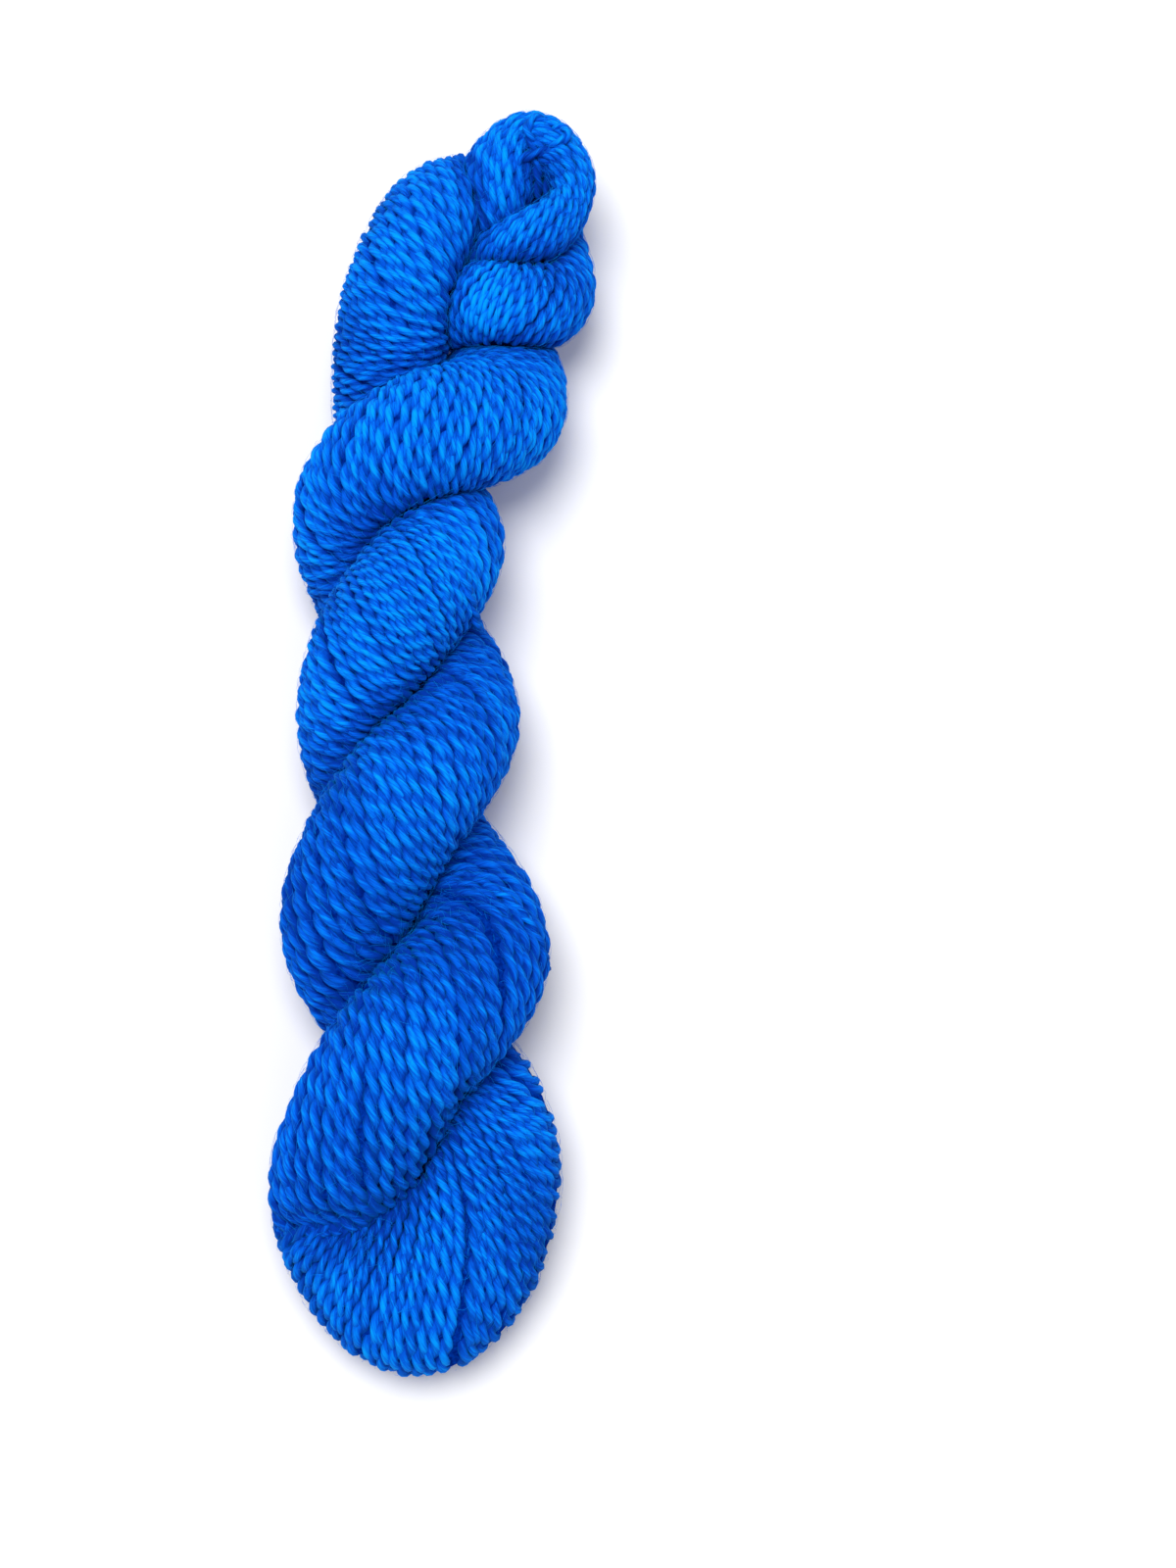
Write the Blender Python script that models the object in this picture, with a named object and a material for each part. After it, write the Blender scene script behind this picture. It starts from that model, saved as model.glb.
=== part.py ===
"""A hank of yarn: a skein twisted hard, folded in half and let twist on itself.

The twisted skein is one long, soft strand. It is followed here from end to end: the end loop, the rope's
first ply, the fold at the lower end, the second ply, and the eye that the end loop is tucked through.
Metres, +Z up, +Y along the hank towards the eye, origin under the middle of the hank on the surface it
lies on.
"""

import math
from collections import namedtuple

import bpy
import numpy as np

# Heights of the strand's middle line where the two plies wrap round each other.
CROWN_Z = 0.0325    # a ply where it crosses on top
SIDE_Z = 0.0225     # a ply at the side of the rope
UNDER_Z = 0.0115    # a ply where it crosses underneath

CORE_RADIUS = 0.009     # yarn that fills the middle of the rope, where the plies press together
CORE_Z = 0.0220

STRAND_STEP = 0.0015    # distance between the rings of the strand
STRAND_SIDES = 48       # points round the strand
SKIN_GRID = 0.0022      # mesh width at which the shells are fused
SMOOTHING_PASSES = 2
SKIN_FACES = 9600       # triangles of the finished skin
YARN_COLOUR = (0.0, 0.13, 0.72, 1.0)
YARN_ROUGHNESS = 0.85

# One place on the strand's middle line, with the strand's half width across and half height there.
Station = namedtuple("Station", "x y z half_width half_height")

# One crossing of a ply over the top of the rope, from the right side over the crown to the left side.
Crossing = namedtuple(
    "Crossing",
    "right_x right_y crown_x crown_y left_x left_y half_width half_height",
)

# The end of the first ply: a small loop, tucked through the eye from below and laid on its rim.
END_LOOP = [
    Station(0.0110, 0.1095, 0.0200, 0.0075, 0.0070),
    Station(0.0215, 0.1120, 0.0290, 0.0075, 0.0070),
    Station(0.0300, 0.1220, 0.0280, 0.0050, 0.0065),
    Station(0.0275, 0.1330, 0.0250, 0.0065, 0.0070),
    Station(0.0205, 0.1375, 0.0220, 0.0090, 0.0080),
    Station(0.0120, 0.1280, 0.0210, 0.0100, 0.0090),
    Station(0.0085, 0.1150, 0.0150, 0.0105, 0.0095),
    Station(0.0110, 0.0965, 0.0120, 0.0120, 0.0110),
]

# The crossings on top, from the eye to the fold, by the ply that makes them.
FIRST_PLY = [
    Crossing(0.0135, 0.0725, -0.0040, 0.0615, -0.0185, 0.0470, 0.0155, 0.0130),
    Crossing(0.0025, -0.0020, -0.0075, -0.0230, -0.0185, -0.0495, 0.0160, 0.0135),
]
SECOND_PLY = [
    Crossing(0.0000, 0.0400, -0.0090, 0.0205, -0.0170, -0.0015, 0.0150, 0.0135),
    Crossing(0.0085, -0.0550, -0.0045, -0.0760, -0.0185, -0.1010, 0.0170, 0.0135),
]

# The fold at the lower end, from under the second ply round to its last crossing.
FOLD = [
    Station(-0.0055, -0.0700, 0.0115, 0.0150, 0.0125),
    Station(0.0105, -0.0925, 0.0170, 0.0160, 0.0125),
    Station(0.0085, -0.1155, 0.0140, 0.0175, 0.0125),
    Station(-0.0035, -0.1285, 0.0120, 0.0180, 0.0125),
    Station(-0.0185, -0.1180, 0.0130, 0.0145, 0.0125),
]

# The end of the second ply: up the left side, over the top end, behind the end loop, back to the front
# and tucked under its own beginning, which closes the eye.
EYE = [
    Station(-0.0100, 0.0625, 0.0115, 0.0135, 0.0125),
    Station(-0.0125, 0.0815, 0.0190, 0.0135, 0.0125),
    Station(-0.0100, 0.0970, 0.0270, 0.0135, 0.0125),
    Station(-0.0035, 0.1170, 0.0245, 0.0120, 0.0120),
    Station(0.0060, 0.1280, 0.0135, 0.0110, 0.0110),
    Station(0.0175, 0.1275, 0.0105, 0.0105, 0.0110),
    Station(0.0235, 0.1155, 0.0140, 0.0100, 0.0105),
    Station(0.0240, 0.1000, 0.0210, 0.0110, 0.0110),
    Station(0.0160, 0.0960, 0.0255, 0.0115, 0.0110),
    Station(0.0055, 0.0980, 0.0200, 0.0110, 0.0105),
    Station(-0.0030, 0.0985, 0.0130, 0.0090, 0.0090),
]

# The middle line of the rope, between the plies, as (x, y).
ROPE_LINE = [
    (0.0070, 0.1050),
    (-0.0010, 0.0700),
    (-0.0070, 0.0300),
    (-0.0080, -0.0200),
    (-0.0050, -0.0700),
    (-0.0030, -0.1050),
]


def crossing_stations(crossing):
    """The three stations of a crossing: right side, crown, left side."""
    size = (crossing.half_width, crossing.half_height)
    return [
        Station(crossing.right_x, crossing.right_y, SIDE_Z, *size),
        Station(crossing.crown_x, crossing.crown_y, CROWN_Z, *size),
        Station(crossing.left_x, crossing.left_y, SIDE_Z, *size),
    ]


def under_station(upper, lower):
    """The station underneath the rope, halfway between the left of one crossing and the right of the next."""
    return Station(
        (upper.left_x + lower.right_x) / 2,
        (upper.left_y + lower.right_y) / 2,
        UNDER_Z,
        (upper.half_width + lower.half_width) / 2,
        (upper.half_height + lower.half_height) / 2,
    )


def ply_stations(crossings):
    """All stations of a ply, from the eye down to the fold."""
    stations = crossing_stations(crossings[0])
    for upper, lower in zip(crossings, crossings[1:]):
        stations.append(under_station(upper, lower))
        stations += crossing_stations(lower)
    return stations


def smooth_curve(knots, values, places):
    """A cubic spline through the values at the knots, free at both ends, read at the given places."""
    count = len(knots)
    gaps = np.diff(knots)
    slopes = np.diff(values, axis=0) / gaps[:, None]
    system = np.eye(count)
    bends = np.zeros_like(values)
    for i in range(1, count - 1):
        system[i, i - 1:i + 2] = gaps[i - 1], 2 * (gaps[i - 1] + gaps[i]), gaps[i]
        bends[i] = 6 * (slopes[i] - slopes[i - 1])
    bends = np.linalg.solve(system, bends)
    span = np.clip(np.searchsorted(knots, places) - 1, 0, count - 2)
    width = gaps[span, None]
    after = (places - knots[span])[:, None] / width
    before = 1 - after
    curve = before * values[span] + after * values[span + 1]
    curve += ((before**3 - before) * bends[span] + (after**3 - after) * bends[span + 1]) * width**2 / 6
    return curve


def evenly_along(stations, step):
    """The middle line through the stations at even steps, and the half width and half height there."""
    rows = np.array(stations)
    centres, sizes = rows[:, :3], rows[:, 3:]
    # The spline's knots are spaced a little closer on long spans, which keeps its bends round.
    spans = np.linalg.norm(np.diff(centres, axis=0), axis=1) ** 0.8
    knots = np.concatenate([[0.0], np.cumsum(spans)])
    fine = np.linspace(0.0, knots[-1], 100 * len(stations))
    line = smooth_curve(knots, centres, fine)
    length = np.concatenate([[0.0], np.cumsum(np.linalg.norm(np.diff(line, axis=0), axis=1))])
    places = np.interp(np.linspace(0.0, length[-1], int(length[-1] / step)), length, fine)
    widths = [np.interp(places, knots, sizes[:, column]) for column in range(2)]
    return smooth_curve(knots, centres, places), np.stack(widths, axis=1)


def rings_round(line, sizes, sides):
    """Rings of points round a line. Each ring lies square to the line, without twist from one to the next.

    A ring reaches as far in each direction as an ellipsoid does that is half_width wide and half_height
    high, so the strand is flattened from above, however it runs.
    """
    along = np.gradient(line, axis=0)
    along /= np.linalg.norm(along, axis=1)[:, None]
    across = np.cross(along[0], (0.0, 0.0, 1.0))
    rings = []
    for centre, tangent, (half_width, half_height) in zip(line, along, sizes):
        across = across - tangent * across.dot(tangent)
        across /= np.linalg.norm(across)
        upward = np.cross(tangent, across)
        angles = np.linspace(0.0, math.tau, sides, endpoint=False)[:, None]
        spokes = across * np.cos(angles) + upward * np.sin(angles)
        reach = 1 / np.linalg.norm(spokes / (half_width, half_width, half_height), axis=1)
        rings.append(centre + spokes * reach[:, None])
    return np.array(rings)


def tube_mesh(name, rings):
    """A closed mesh through the rings, with a fan of faces over each end."""
    count, sides, _ = rings.shape
    points = rings.reshape(-1, 3).tolist()
    faces = []
    for ring in range(count - 1):
        for side in range(sides):
            here = ring * sides + side
            beside = ring * sides + (side + 1) % sides
            faces.append((here, beside, beside + sides, here + sides))
    for ring, turned in ((0, True), (count - 1, False)):
        rim = [ring * sides + side for side in range(sides)]
        points.append(rings[ring].mean(axis=0).tolist())
        hub = len(points) - 1
        for side in range(sides):
            edge = (rim[side], rim[(side + 1) % sides])
            faces.append((hub, *(reversed(edge) if turned else edge)))
    mesh = bpy.data.meshes.new(name)
    mesh.from_pydata(points, [], faces)
    return mesh


def join_meshes(name, meshes):
    """One object that holds several closed shells."""
    points = []
    faces = []
    for mesh in meshes:
        first = len(points)
        points += [vertex.co[:] for vertex in mesh.vertices]
        faces += [[first + corner for corner in face.vertices] for face in mesh.polygons]
        bpy.data.meshes.remove(mesh)
    joined = bpy.data.meshes.new(name)
    joined.from_pydata(points, [], faces)
    obj = bpy.data.objects.new(name, joined)
    bpy.context.scene.collection.objects.link(obj)
    return obj


def fuse_shells(obj):
    """Replaces overlapping shells by one even skin, with the creases between them kept as soft valleys."""
    remesh = obj.modifiers.new("skin", "REMESH")
    remesh.mode = "VOXEL"
    remesh.voxel_size = SKIN_GRID
    smooth = obj.modifiers.new("soften", "SMOOTH")
    smooth.factor = 0.5
    smooth.iterations = SMOOTHING_PASSES
    graph = bpy.context.evaluated_depsgraph_get()
    fine_faces = 2 * len(obj.evaluated_get(graph).data.polygons)
    thin = obj.modifiers.new("thin", "DECIMATE")
    thin.ratio = SKIN_FACES / fine_faces
    graph = bpy.context.evaluated_depsgraph_get()
    skin = bpy.data.meshes.new_from_object(obj.evaluated_get(graph))
    obj.modifiers.clear()
    shells = obj.data
    obj.data = skin
    bpy.data.meshes.remove(shells)
    skin.name = obj.name


def settle_on_surface(mesh):
    """Flattens what would sink below z = 0, and centres the mesh over the origin."""
    points = np.empty(len(mesh.vertices) * 3)
    mesh.vertices.foreach_get("co", points)
    points = points.reshape(-1, 3)
    points[:, :2] -= (points[:, :2].min(axis=0) + points[:, :2].max(axis=0)) / 2
    points[:, 2] = np.maximum(points[:, 2], 0.0)
    mesh.vertices.foreach_set("co", points.ravel())
    mesh.update()


def yarn_material():
    material = bpy.data.materials.new("blue_yarn")
    material.use_nodes = True
    shader = material.node_tree.nodes["Principled BSDF"]
    shader.inputs["Base Color"].default_value = YARN_COLOUR
    shader.inputs["Roughness"].default_value = YARN_ROUGHNESS
    shader.inputs["Metallic"].default_value = 0.0
    return material


def build_hank():
    stations = (
        END_LOOP
        + ply_stations(FIRST_PLY)
        + FOLD
        + ply_stations(SECOND_PLY)[::-1]
        + EYE
    )
    line, sizes = evenly_along(stations, STRAND_STEP)
    strand = tube_mesh("strand", rings_round(line, sizes, STRAND_SIDES))
    core_stations = [Station(x, y, CORE_Z, CORE_RADIUS, CORE_RADIUS) for x, y in ROPE_LINE]
    core_line, core_sizes = evenly_along(core_stations, STRAND_STEP)
    core = tube_mesh("core", rings_round(core_line, core_sizes, STRAND_SIDES))
    hank = join_meshes("hank", [strand, core])
    fuse_shells(hank)
    settle_on_surface(hank.data)
    hank.data.shade_smooth()
    hank.data.materials.clear()
    hank.data.materials.append(yarn_material())
    return hank


def main():
    for obj in list(bpy.data.objects):
        bpy.data.objects.remove(obj, do_unlink=True)
    build_hank()


main()
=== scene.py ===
# %% [markdown]
# # A hank of wool yarn
#
# A hank is a long loop of yarn that was twisted hard, folded in half and let go, so that its two halves
# wrap round each other. This lesson dresses the plain model of such a hank with real yarn: every thread
# that shows is a mesh of its own, made of two plies that twist round each other, with a halo of fibres.
#
# The plain model is loaded first and stays fixed. Everything below is in metres, in the model's frame:
# +Z is up, +Y runs along the hank towards the eye, and the origin lies under its middle.

# %% The fixed frame
import math
from collections import namedtuple

import bpy
import numpy as np
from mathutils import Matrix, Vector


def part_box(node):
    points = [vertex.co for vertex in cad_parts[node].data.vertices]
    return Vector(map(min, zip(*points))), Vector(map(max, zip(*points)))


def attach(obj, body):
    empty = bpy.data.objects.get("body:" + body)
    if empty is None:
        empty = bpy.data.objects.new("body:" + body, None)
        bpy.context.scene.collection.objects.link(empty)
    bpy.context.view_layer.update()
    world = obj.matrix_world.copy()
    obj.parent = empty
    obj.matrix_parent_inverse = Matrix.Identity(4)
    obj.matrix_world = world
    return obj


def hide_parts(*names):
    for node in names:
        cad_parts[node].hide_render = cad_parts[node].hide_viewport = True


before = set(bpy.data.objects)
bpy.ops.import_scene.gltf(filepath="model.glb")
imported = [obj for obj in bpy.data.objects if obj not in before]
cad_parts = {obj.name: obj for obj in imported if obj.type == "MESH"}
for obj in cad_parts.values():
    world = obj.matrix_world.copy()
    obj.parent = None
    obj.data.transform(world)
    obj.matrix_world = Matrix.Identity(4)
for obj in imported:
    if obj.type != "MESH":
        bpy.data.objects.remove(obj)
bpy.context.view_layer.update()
hank_low, hank_high = (np.array(corner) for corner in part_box("hank"))
print("hank, mm:", ((hank_high - hank_low) * 1000).round(1))

# %% [markdown]
# ## The strand's line
#
# The whole hank is one long, soft strand. Its middle line is given by stations: a place, and the strand's
# half width and half height there. They are the same ones that shape the plain model, so the yarn lies
# where the model is. A short table for each part of the hank is easier to change than one long list.

# %% Stations of the loop, the fold and the eye
Station = namedtuple("Station", "x y z half_width half_height")

END_LOOP = [
    Station(0.0110, 0.1095, 0.0200, 0.0075, 0.0070),
    Station(0.0215, 0.1120, 0.0290, 0.0075, 0.0070),
    Station(0.0300, 0.1220, 0.0280, 0.0050, 0.0065),
    Station(0.0275, 0.1330, 0.0250, 0.0065, 0.0070),
    Station(0.0205, 0.1375, 0.0220, 0.0090, 0.0080),
    Station(0.0120, 0.1280, 0.0210, 0.0100, 0.0090),
    Station(0.0085, 0.1150, 0.0150, 0.0105, 0.0095),
    Station(0.0110, 0.0965, 0.0120, 0.0120, 0.0110),
]
FOLD = [
    Station(-0.0055, -0.0700, 0.0115, 0.0150, 0.0125),
    Station(0.0105, -0.0925, 0.0170, 0.0160, 0.0125),
    Station(0.0085, -0.1155, 0.0140, 0.0175, 0.0125),
    Station(-0.0035, -0.1285, 0.0120, 0.0180, 0.0125),
    Station(-0.0185, -0.1180, 0.0130, 0.0145, 0.0125),
]
EYE = [
    Station(-0.0100, 0.0625, 0.0115, 0.0135, 0.0125),
    Station(-0.0125, 0.0815, 0.0190, 0.0135, 0.0125),
    Station(-0.0100, 0.0970, 0.0270, 0.0135, 0.0125),
    Station(-0.0035, 0.1170, 0.0245, 0.0120, 0.0120),
    Station(0.0060, 0.1280, 0.0135, 0.0110, 0.0110),
    Station(0.0175, 0.1275, 0.0105, 0.0105, 0.0110),
    Station(0.0235, 0.1155, 0.0140, 0.0100, 0.0105),
    Station(0.0240, 0.1000, 0.0210, 0.0110, 0.0110),
    Station(0.0160, 0.0960, 0.0255, 0.0115, 0.0110),
    Station(0.0055, 0.0980, 0.0200, 0.0110, 0.0105),
    Station(-0.0030, 0.0985, 0.0130, 0.0090, 0.0090),
]
print("stations of the end loop, the fold and the eye:", len(END_LOOP), len(FOLD), len(EYE))

# %% [markdown]
# Between the eye and the fold the two plies take turns on top. They could be typed out station by station,
# but every crossing has the same three heights: one row gives where it lies from above, and the station
# underneath the rope lies halfway between two crossings of the same ply.

# %% Stations of the plies
CROWN_Z = 0.0325    # a ply where it crosses on top
SIDE_Z = 0.0225     # a ply at the side of the rope
UNDER_Z = 0.0115    # a ply where it crosses underneath

Crossing = namedtuple(
    "Crossing",
    "right_x right_y crown_x crown_y left_x left_y half_width half_height",
)

FIRST_PLY = [
    Crossing(0.0135, 0.0725, -0.0040, 0.0615, -0.0185, 0.0470, 0.0155, 0.0130),
    Crossing(0.0025, -0.0020, -0.0075, -0.0230, -0.0185, -0.0495, 0.0160, 0.0135),
]
SECOND_PLY = [
    Crossing(0.0000, 0.0400, -0.0090, 0.0205, -0.0170, -0.0015, 0.0150, 0.0135),
    Crossing(0.0085, -0.0550, -0.0045, -0.0760, -0.0185, -0.1010, 0.0170, 0.0135),
]


def crossing_stations(crossing):
    """The three stations of a crossing: right side, crown, left side."""
    size = (crossing.half_width, crossing.half_height)
    return [
        Station(crossing.right_x, crossing.right_y, SIDE_Z, *size),
        Station(crossing.crown_x, crossing.crown_y, CROWN_Z, *size),
        Station(crossing.left_x, crossing.left_y, SIDE_Z, *size),
    ]


def under_station(upper, lower):
    """Underneath the rope, halfway between the left of one crossing and the right of the next."""
    return Station(
        (upper.left_x + lower.right_x) / 2,
        (upper.left_y + lower.right_y) / 2,
        UNDER_Z,
        (upper.half_width + lower.half_width) / 2,
        (upper.half_height + lower.half_height) / 2,
    )


def ply_stations(crossings):
    """All stations of a ply, from the eye down to the fold."""
    stations = crossing_stations(crossings[0])
    for upper, lower in zip(crossings, crossings[1:]):
        stations.append(under_station(upper, lower))
        stations += crossing_stations(lower)
    return stations


parts_of_strand = {
    "end_loop": END_LOOP,
    "first_ply": ply_stations(FIRST_PLY),
    "fold": FOLD,
    "second_ply": ply_stations(SECOND_PLY)[::-1],
    "eye": EYE,
}
stations = [station for part in parts_of_strand.values() for station in part]
print(len(stations), "stations")

# %% [markdown]
# A smooth curve goes through the stations. Blender's own curves could give one too, but the yarn has to be
# laid on the strand point by point, and a curve that is worked out here can be read at any place. It is a
# cubic spline: a chain of cubic pieces whose slope and bend agree where they meet.

# %% A smooth curve
def smooth_curve(knots, values, places):
    """A cubic spline through the values at the knots, free at both ends, read at the given places.

    The bends at the knots solve a set of linear equations, one for each inner knot; between two knots
    the curve is the straight blend of their values plus a cubic term for each of their bends.
    """
    count = len(knots)
    gaps = np.diff(knots)
    slopes = np.diff(values, axis=0) / gaps[:, None]
    inner = np.arange(1, count - 1)
    system = np.eye(count)
    system[inner, inner - 1] = gaps[:-1]
    system[inner, inner] = 2 * (gaps[:-1] + gaps[1:])
    system[inner, inner + 1] = gaps[1:]
    bends = np.zeros_like(values)
    bends[inner] = 6 * np.diff(slopes, axis=0)
    bends = np.linalg.solve(system, bends)
    span = np.clip(np.searchsorted(knots, places) - 1, 0, count - 2)
    width = gaps[span, None]
    after = (places - knots[span])[:, None] / width
    before = 1 - after
    curve = before * values[span] + after * values[span + 1]
    curve += ((before**3 - before) * bends[span] + (after**3 - after) * bends[span + 1]) * width**2 / 6
    return curve


def running_sum(steps):
    """The sum of all the steps so far, from zero on."""
    return np.concatenate([[0.0], np.cumsum(steps)])


def running_length(points):
    """The length walked along a row of points, up to each of them."""
    return running_sum(np.linalg.norm(np.diff(points, axis=0), axis=1))


print("length of a test walk of two steps:", running_length(np.array([[0.0, 0.0], [3.0, 4.0], [3.0, 5.0]])))

# %% [markdown]
# The curve is read twice: finely, to measure how long the strand is, and then at places a millimetre apart.
# The strand's half width and half height change evenly from one station to the next.

# %% The strand's middle line
STRAND_STEP = 0.001     # distance between places on the line
KNOT_POWER = 0.8        # of the distance between stations: a short span must not make the curve swing out
FINE_READS = 100        # for each station

rows = np.array(stations)
knots = running_sum(np.linalg.norm(np.diff(rows[:, :3], axis=0), axis=1) ** KNOT_POWER)
fine_knots = np.linspace(0.0, knots[-1], FINE_READS * len(stations))
fine_length = running_length(smooth_curve(knots, rows[:, :3], fine_knots))
place_count = int(fine_length[-1] / STRAND_STEP)
strand_length = np.linspace(0.0, fine_length[-1], place_count)
places = np.interp(strand_length, fine_length, fine_knots)
line = smooth_curve(knots, rows[:, :3], places)
half_width, half_height = (np.interp(places, knots, rows[:, column]) for column in (3, 4))
squash = np.stack([half_width, half_width, half_height], axis=1)
station_length = np.interp(knots, fine_knots, fine_length)
print("strand length, mm:", round(fine_length[-1] * 1000, 1))

# %% [markdown]
# ## The strand's skin
#
# Round the line goes a grid of spokes: one row for each place on the line, one column for each angle. The
# rows must not twist against each other, or the yarn would seem to wind where it doesn't. So a frame is
# first taken level with the floor, and the turn that it makes along the line is summed up and undone.

# %% Spokes round the line
SPOKES = 72


def unit(vectors):
    """Vectors of length one, along the last axis."""
    return vectors / np.linalg.norm(vectors, axis=-1, keepdims=True)


along = unit(np.gradient(line, axis=0))
level = unit(np.cross(along, (0.0, 0.0, 1.0)))
steep = np.cross(along, level)
turn = running_sum((np.diff(level, axis=0) * (steep[1:] + steep[:-1]) / 2).sum(axis=1))
across = level * np.cos(turn)[:, None] - steep * np.sin(turn)[:, None]
upward = np.cross(along, across)

angles = np.arange(SPOKES) * math.tau / SPOKES
spokes = across[:, None] * np.cos(angles)[:, None] + upward[:, None] * np.sin(angles)[:, None]
reach = 1 / np.linalg.norm(spokes / squash[:, None], axis=2)

outline = line[:, None] + spokes * reach[..., None]
middle = (outline.min(axis=(0, 1)) + outline.max(axis=(0, 1))) / 2
shift = (hank_low + hank_high) / 2 - middle
shift[2] = 0.0
line = line + shift
print("skin shifted onto the model by, mm:", (shift * 1000).round(2))

# %% [markdown]
# ## Pressed together
#
# Where two lengths of the strand meet, neither is round: they press flat against each other along a
# middle surface. For a point on one length, the other length's nearness is a number that is 1 on its
# skin and 0 on its line. A spoke is drawn in until both numbers agree, and until it clears the floor.
# A cloth simulation could find this too, but the sum below takes seconds and gives the same each time.

# %% How far each spoke reaches
OWN_LENGTH = 0.013      # lengths nearer than this along the strand are one and the same
SETTLE_PASSES = 8
ROWS_AT_ONCE = 100
FAR = 1e6               # added to a square distance that must not count
LEAST_FALL = 1e-9       # keeps a level spoke from reaching the floor


def nearness(points):
    """For a grid of points (row i belongs to place i), the least distance to other lengths of the strand.

    The distance is measured in half widths and half heights of the other length. Written out, its square
    is a sum of six products, so one matrix product gives it for all points and places together.
    """
    level_scale, height_scale = 1 / half_width**2, 1 / half_height**2
    weights = np.stack([
        level_scale,
        height_scale,
        -2 * line[:, 0] * level_scale,
        -2 * line[:, 1] * level_scale,
        -2 * line[:, 2] * height_scale,
        (line[:, 0]**2 + line[:, 1]**2) * level_scale + line[:, 2]**2 * height_scale,
    ])
    x, y, z = points[..., 0], points[..., 1], points[..., 2]
    terms = np.stack([x**2 + y**2, z**2, x, y, z, np.ones_like(x)], axis=-1)
    nearest = np.empty(points.shape[:2])
    for first in range(0, len(points), ROWS_AT_ONCE):
        block = slice(first, first + ROWS_AT_ONCE)
        squares = terms[block] @ weights
        own = np.abs(strand_length[block, None] - strand_length[None]) < OWN_LENGTH
        nearest[block] = (squares + FAR * own[:, None, :]).min(axis=2)
    return np.sqrt(np.maximum(nearest, 0.0))


def settle():
    """The share of each spoke that is left when the strand is pressed on itself and on the floor.

    Each pass takes the mean of the share and the nearness at the spoke's tip, at most 1, and at most what
    reaches the floor. The nearness on the first pass, of the round skin, tells how free each point is.
    """
    share = np.ones_like(reach)
    above_floor = line[:, None, 2] / np.maximum(-spokes[..., 2] * reach, LEAST_FALL)
    free = None
    for _ in range(SETTLE_PASSES):
        other = nearness(line[:, None] + spokes * (reach * share)[..., None])
        if free is None:
            free = other
        share = np.minimum(np.minimum(1.0, (share + other) / 2), above_floor)
    return share, free


share, free = settle()
skin_reach = reach * share
print("share of the skin that is pressed:", round(float((free < 1).mean()), 2))

# %% [markdown]
# Some things happen on one stretch of the strand alone. Two helpers tell where: one turns a station's number
# into a place on the line, the other is 1 on a stretch and fades smoothly at both ends, so that nothing that
# is done there leaves a step in the skin.

# %% Stretches of the strand
def place_of(station):
    """The place, in steps along the strand, of a station given by its number."""
    return np.interp(station, np.arange(len(stations)), station_length) / STRAND_STEP


def ramp(values, low, high):
    """0 below the low end, 1 above the high end; between, three squares of the share less two cubes."""
    share = np.clip((values - low) / (high - low), 0.0, 1.0)
    return share * share * (3 - 2 * share)


row_place = np.arange(place_count)[:, None]


def stretch(starts, full, fades, gone):
    """1 on a stretch of the strand given by four stations: a ramp up at one end times a ramp down."""
    rising = ramp(row_place, place_of(starts), place_of(full))
    return rising * (1 - ramp(row_place, place_of(fades), place_of(gone)))


print("places from the first station of the fold to the last:", place_of(15).round(), place_of(19).round())

# %% [markdown]
# The strand's second half crosses the fold. Where the two meet, the yarns of both dive into a crease that
# runs out to the rim. It could be carved by hand in sculpt mode, but a row of spots on the hank's floor plan
# is easier to move. A dent is pressed into the skin along it, shallower with the distance from it.

# %% The crease over the fold
DENT_DEPTH = 0.0028
DENT_REACH = 0.0050         # distance from the crease at which the dent has gone
DENT_END = 0.003            # and half the length over which it runs out
DENT_TILT = 0.6             # upward share of a spoke from which the dent is full: it stays on the upper side
CREASE_START = -0.0140      # x: the dent runs from here to the rim at the left
TUCKED = 0.0015             # how far the yarns of both sides run on past the crease, buried

Spot = namedtuple("Spot", "x y")

FOLD_CREASE = [
    Spot(-0.0400, -0.1145),
    Spot(-0.0321, -0.1154),
    Spot(-0.0262, -0.1160),
    Spot(-0.0199, -0.1149),
    Spot(-0.0144, -0.1141),
    Spot(-0.0126, -0.1121),
    Spot(-0.0098, -0.1100),
    Spot(-0.0040, -0.1062),
    Spot(0.0009, -0.0982),
    Spot(0.0044, -0.0912),
    Spot(0.0088, -0.0846),
    Spot(0.0132, -0.0803),
    Spot(0.0195, -0.0690),
]


def beyond_crease(points):
    """How far points lie past the fold's crease, towards the eye; below zero on the fold's side."""
    spots = np.array(FOLD_CREASE)
    return points[..., 1] - np.interp(points[..., 0], spots[:, 0], spots[:, 1])


skin = line[:, None] + spokes * skin_reach[..., None]
dent = 1 - ramp(np.abs(beyond_crease(skin)), 0.0, DENT_REACH)
dent *= 1 - ramp(skin[..., 0], CREASE_START - DENT_END, CREASE_START + DENT_END)
dent *= ramp(spokes[..., 2], 0.0, DENT_TILT)
dent *= stretch(18.3, 18.8, 20.4, 20.9)
skin -= spokes * (DENT_DEPTH * dent)[..., None]
print("deepest dent, mm:", round(float(dent.max()) * DENT_DEPTH * 1000, 2))

# %% [markdown]
# The strand's second half ends at the crease with a rounded edge that stands up above the fold. Its round
# model reaches further than that. Cutting it off would leave a hole, so what lies on the fold's side of the
# crease is pressed down to the fold's level.

# %% The corner pressed level
FOLD_LEVEL = 0.0262
CORNER_SLOPE = (-0.0005, 0.0022)        # distances past the crease between which the pressing sets in
CORNER_ENDS = (-0.0187, -0.0147)        # x between which it starts: the rim at the left stays round

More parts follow.
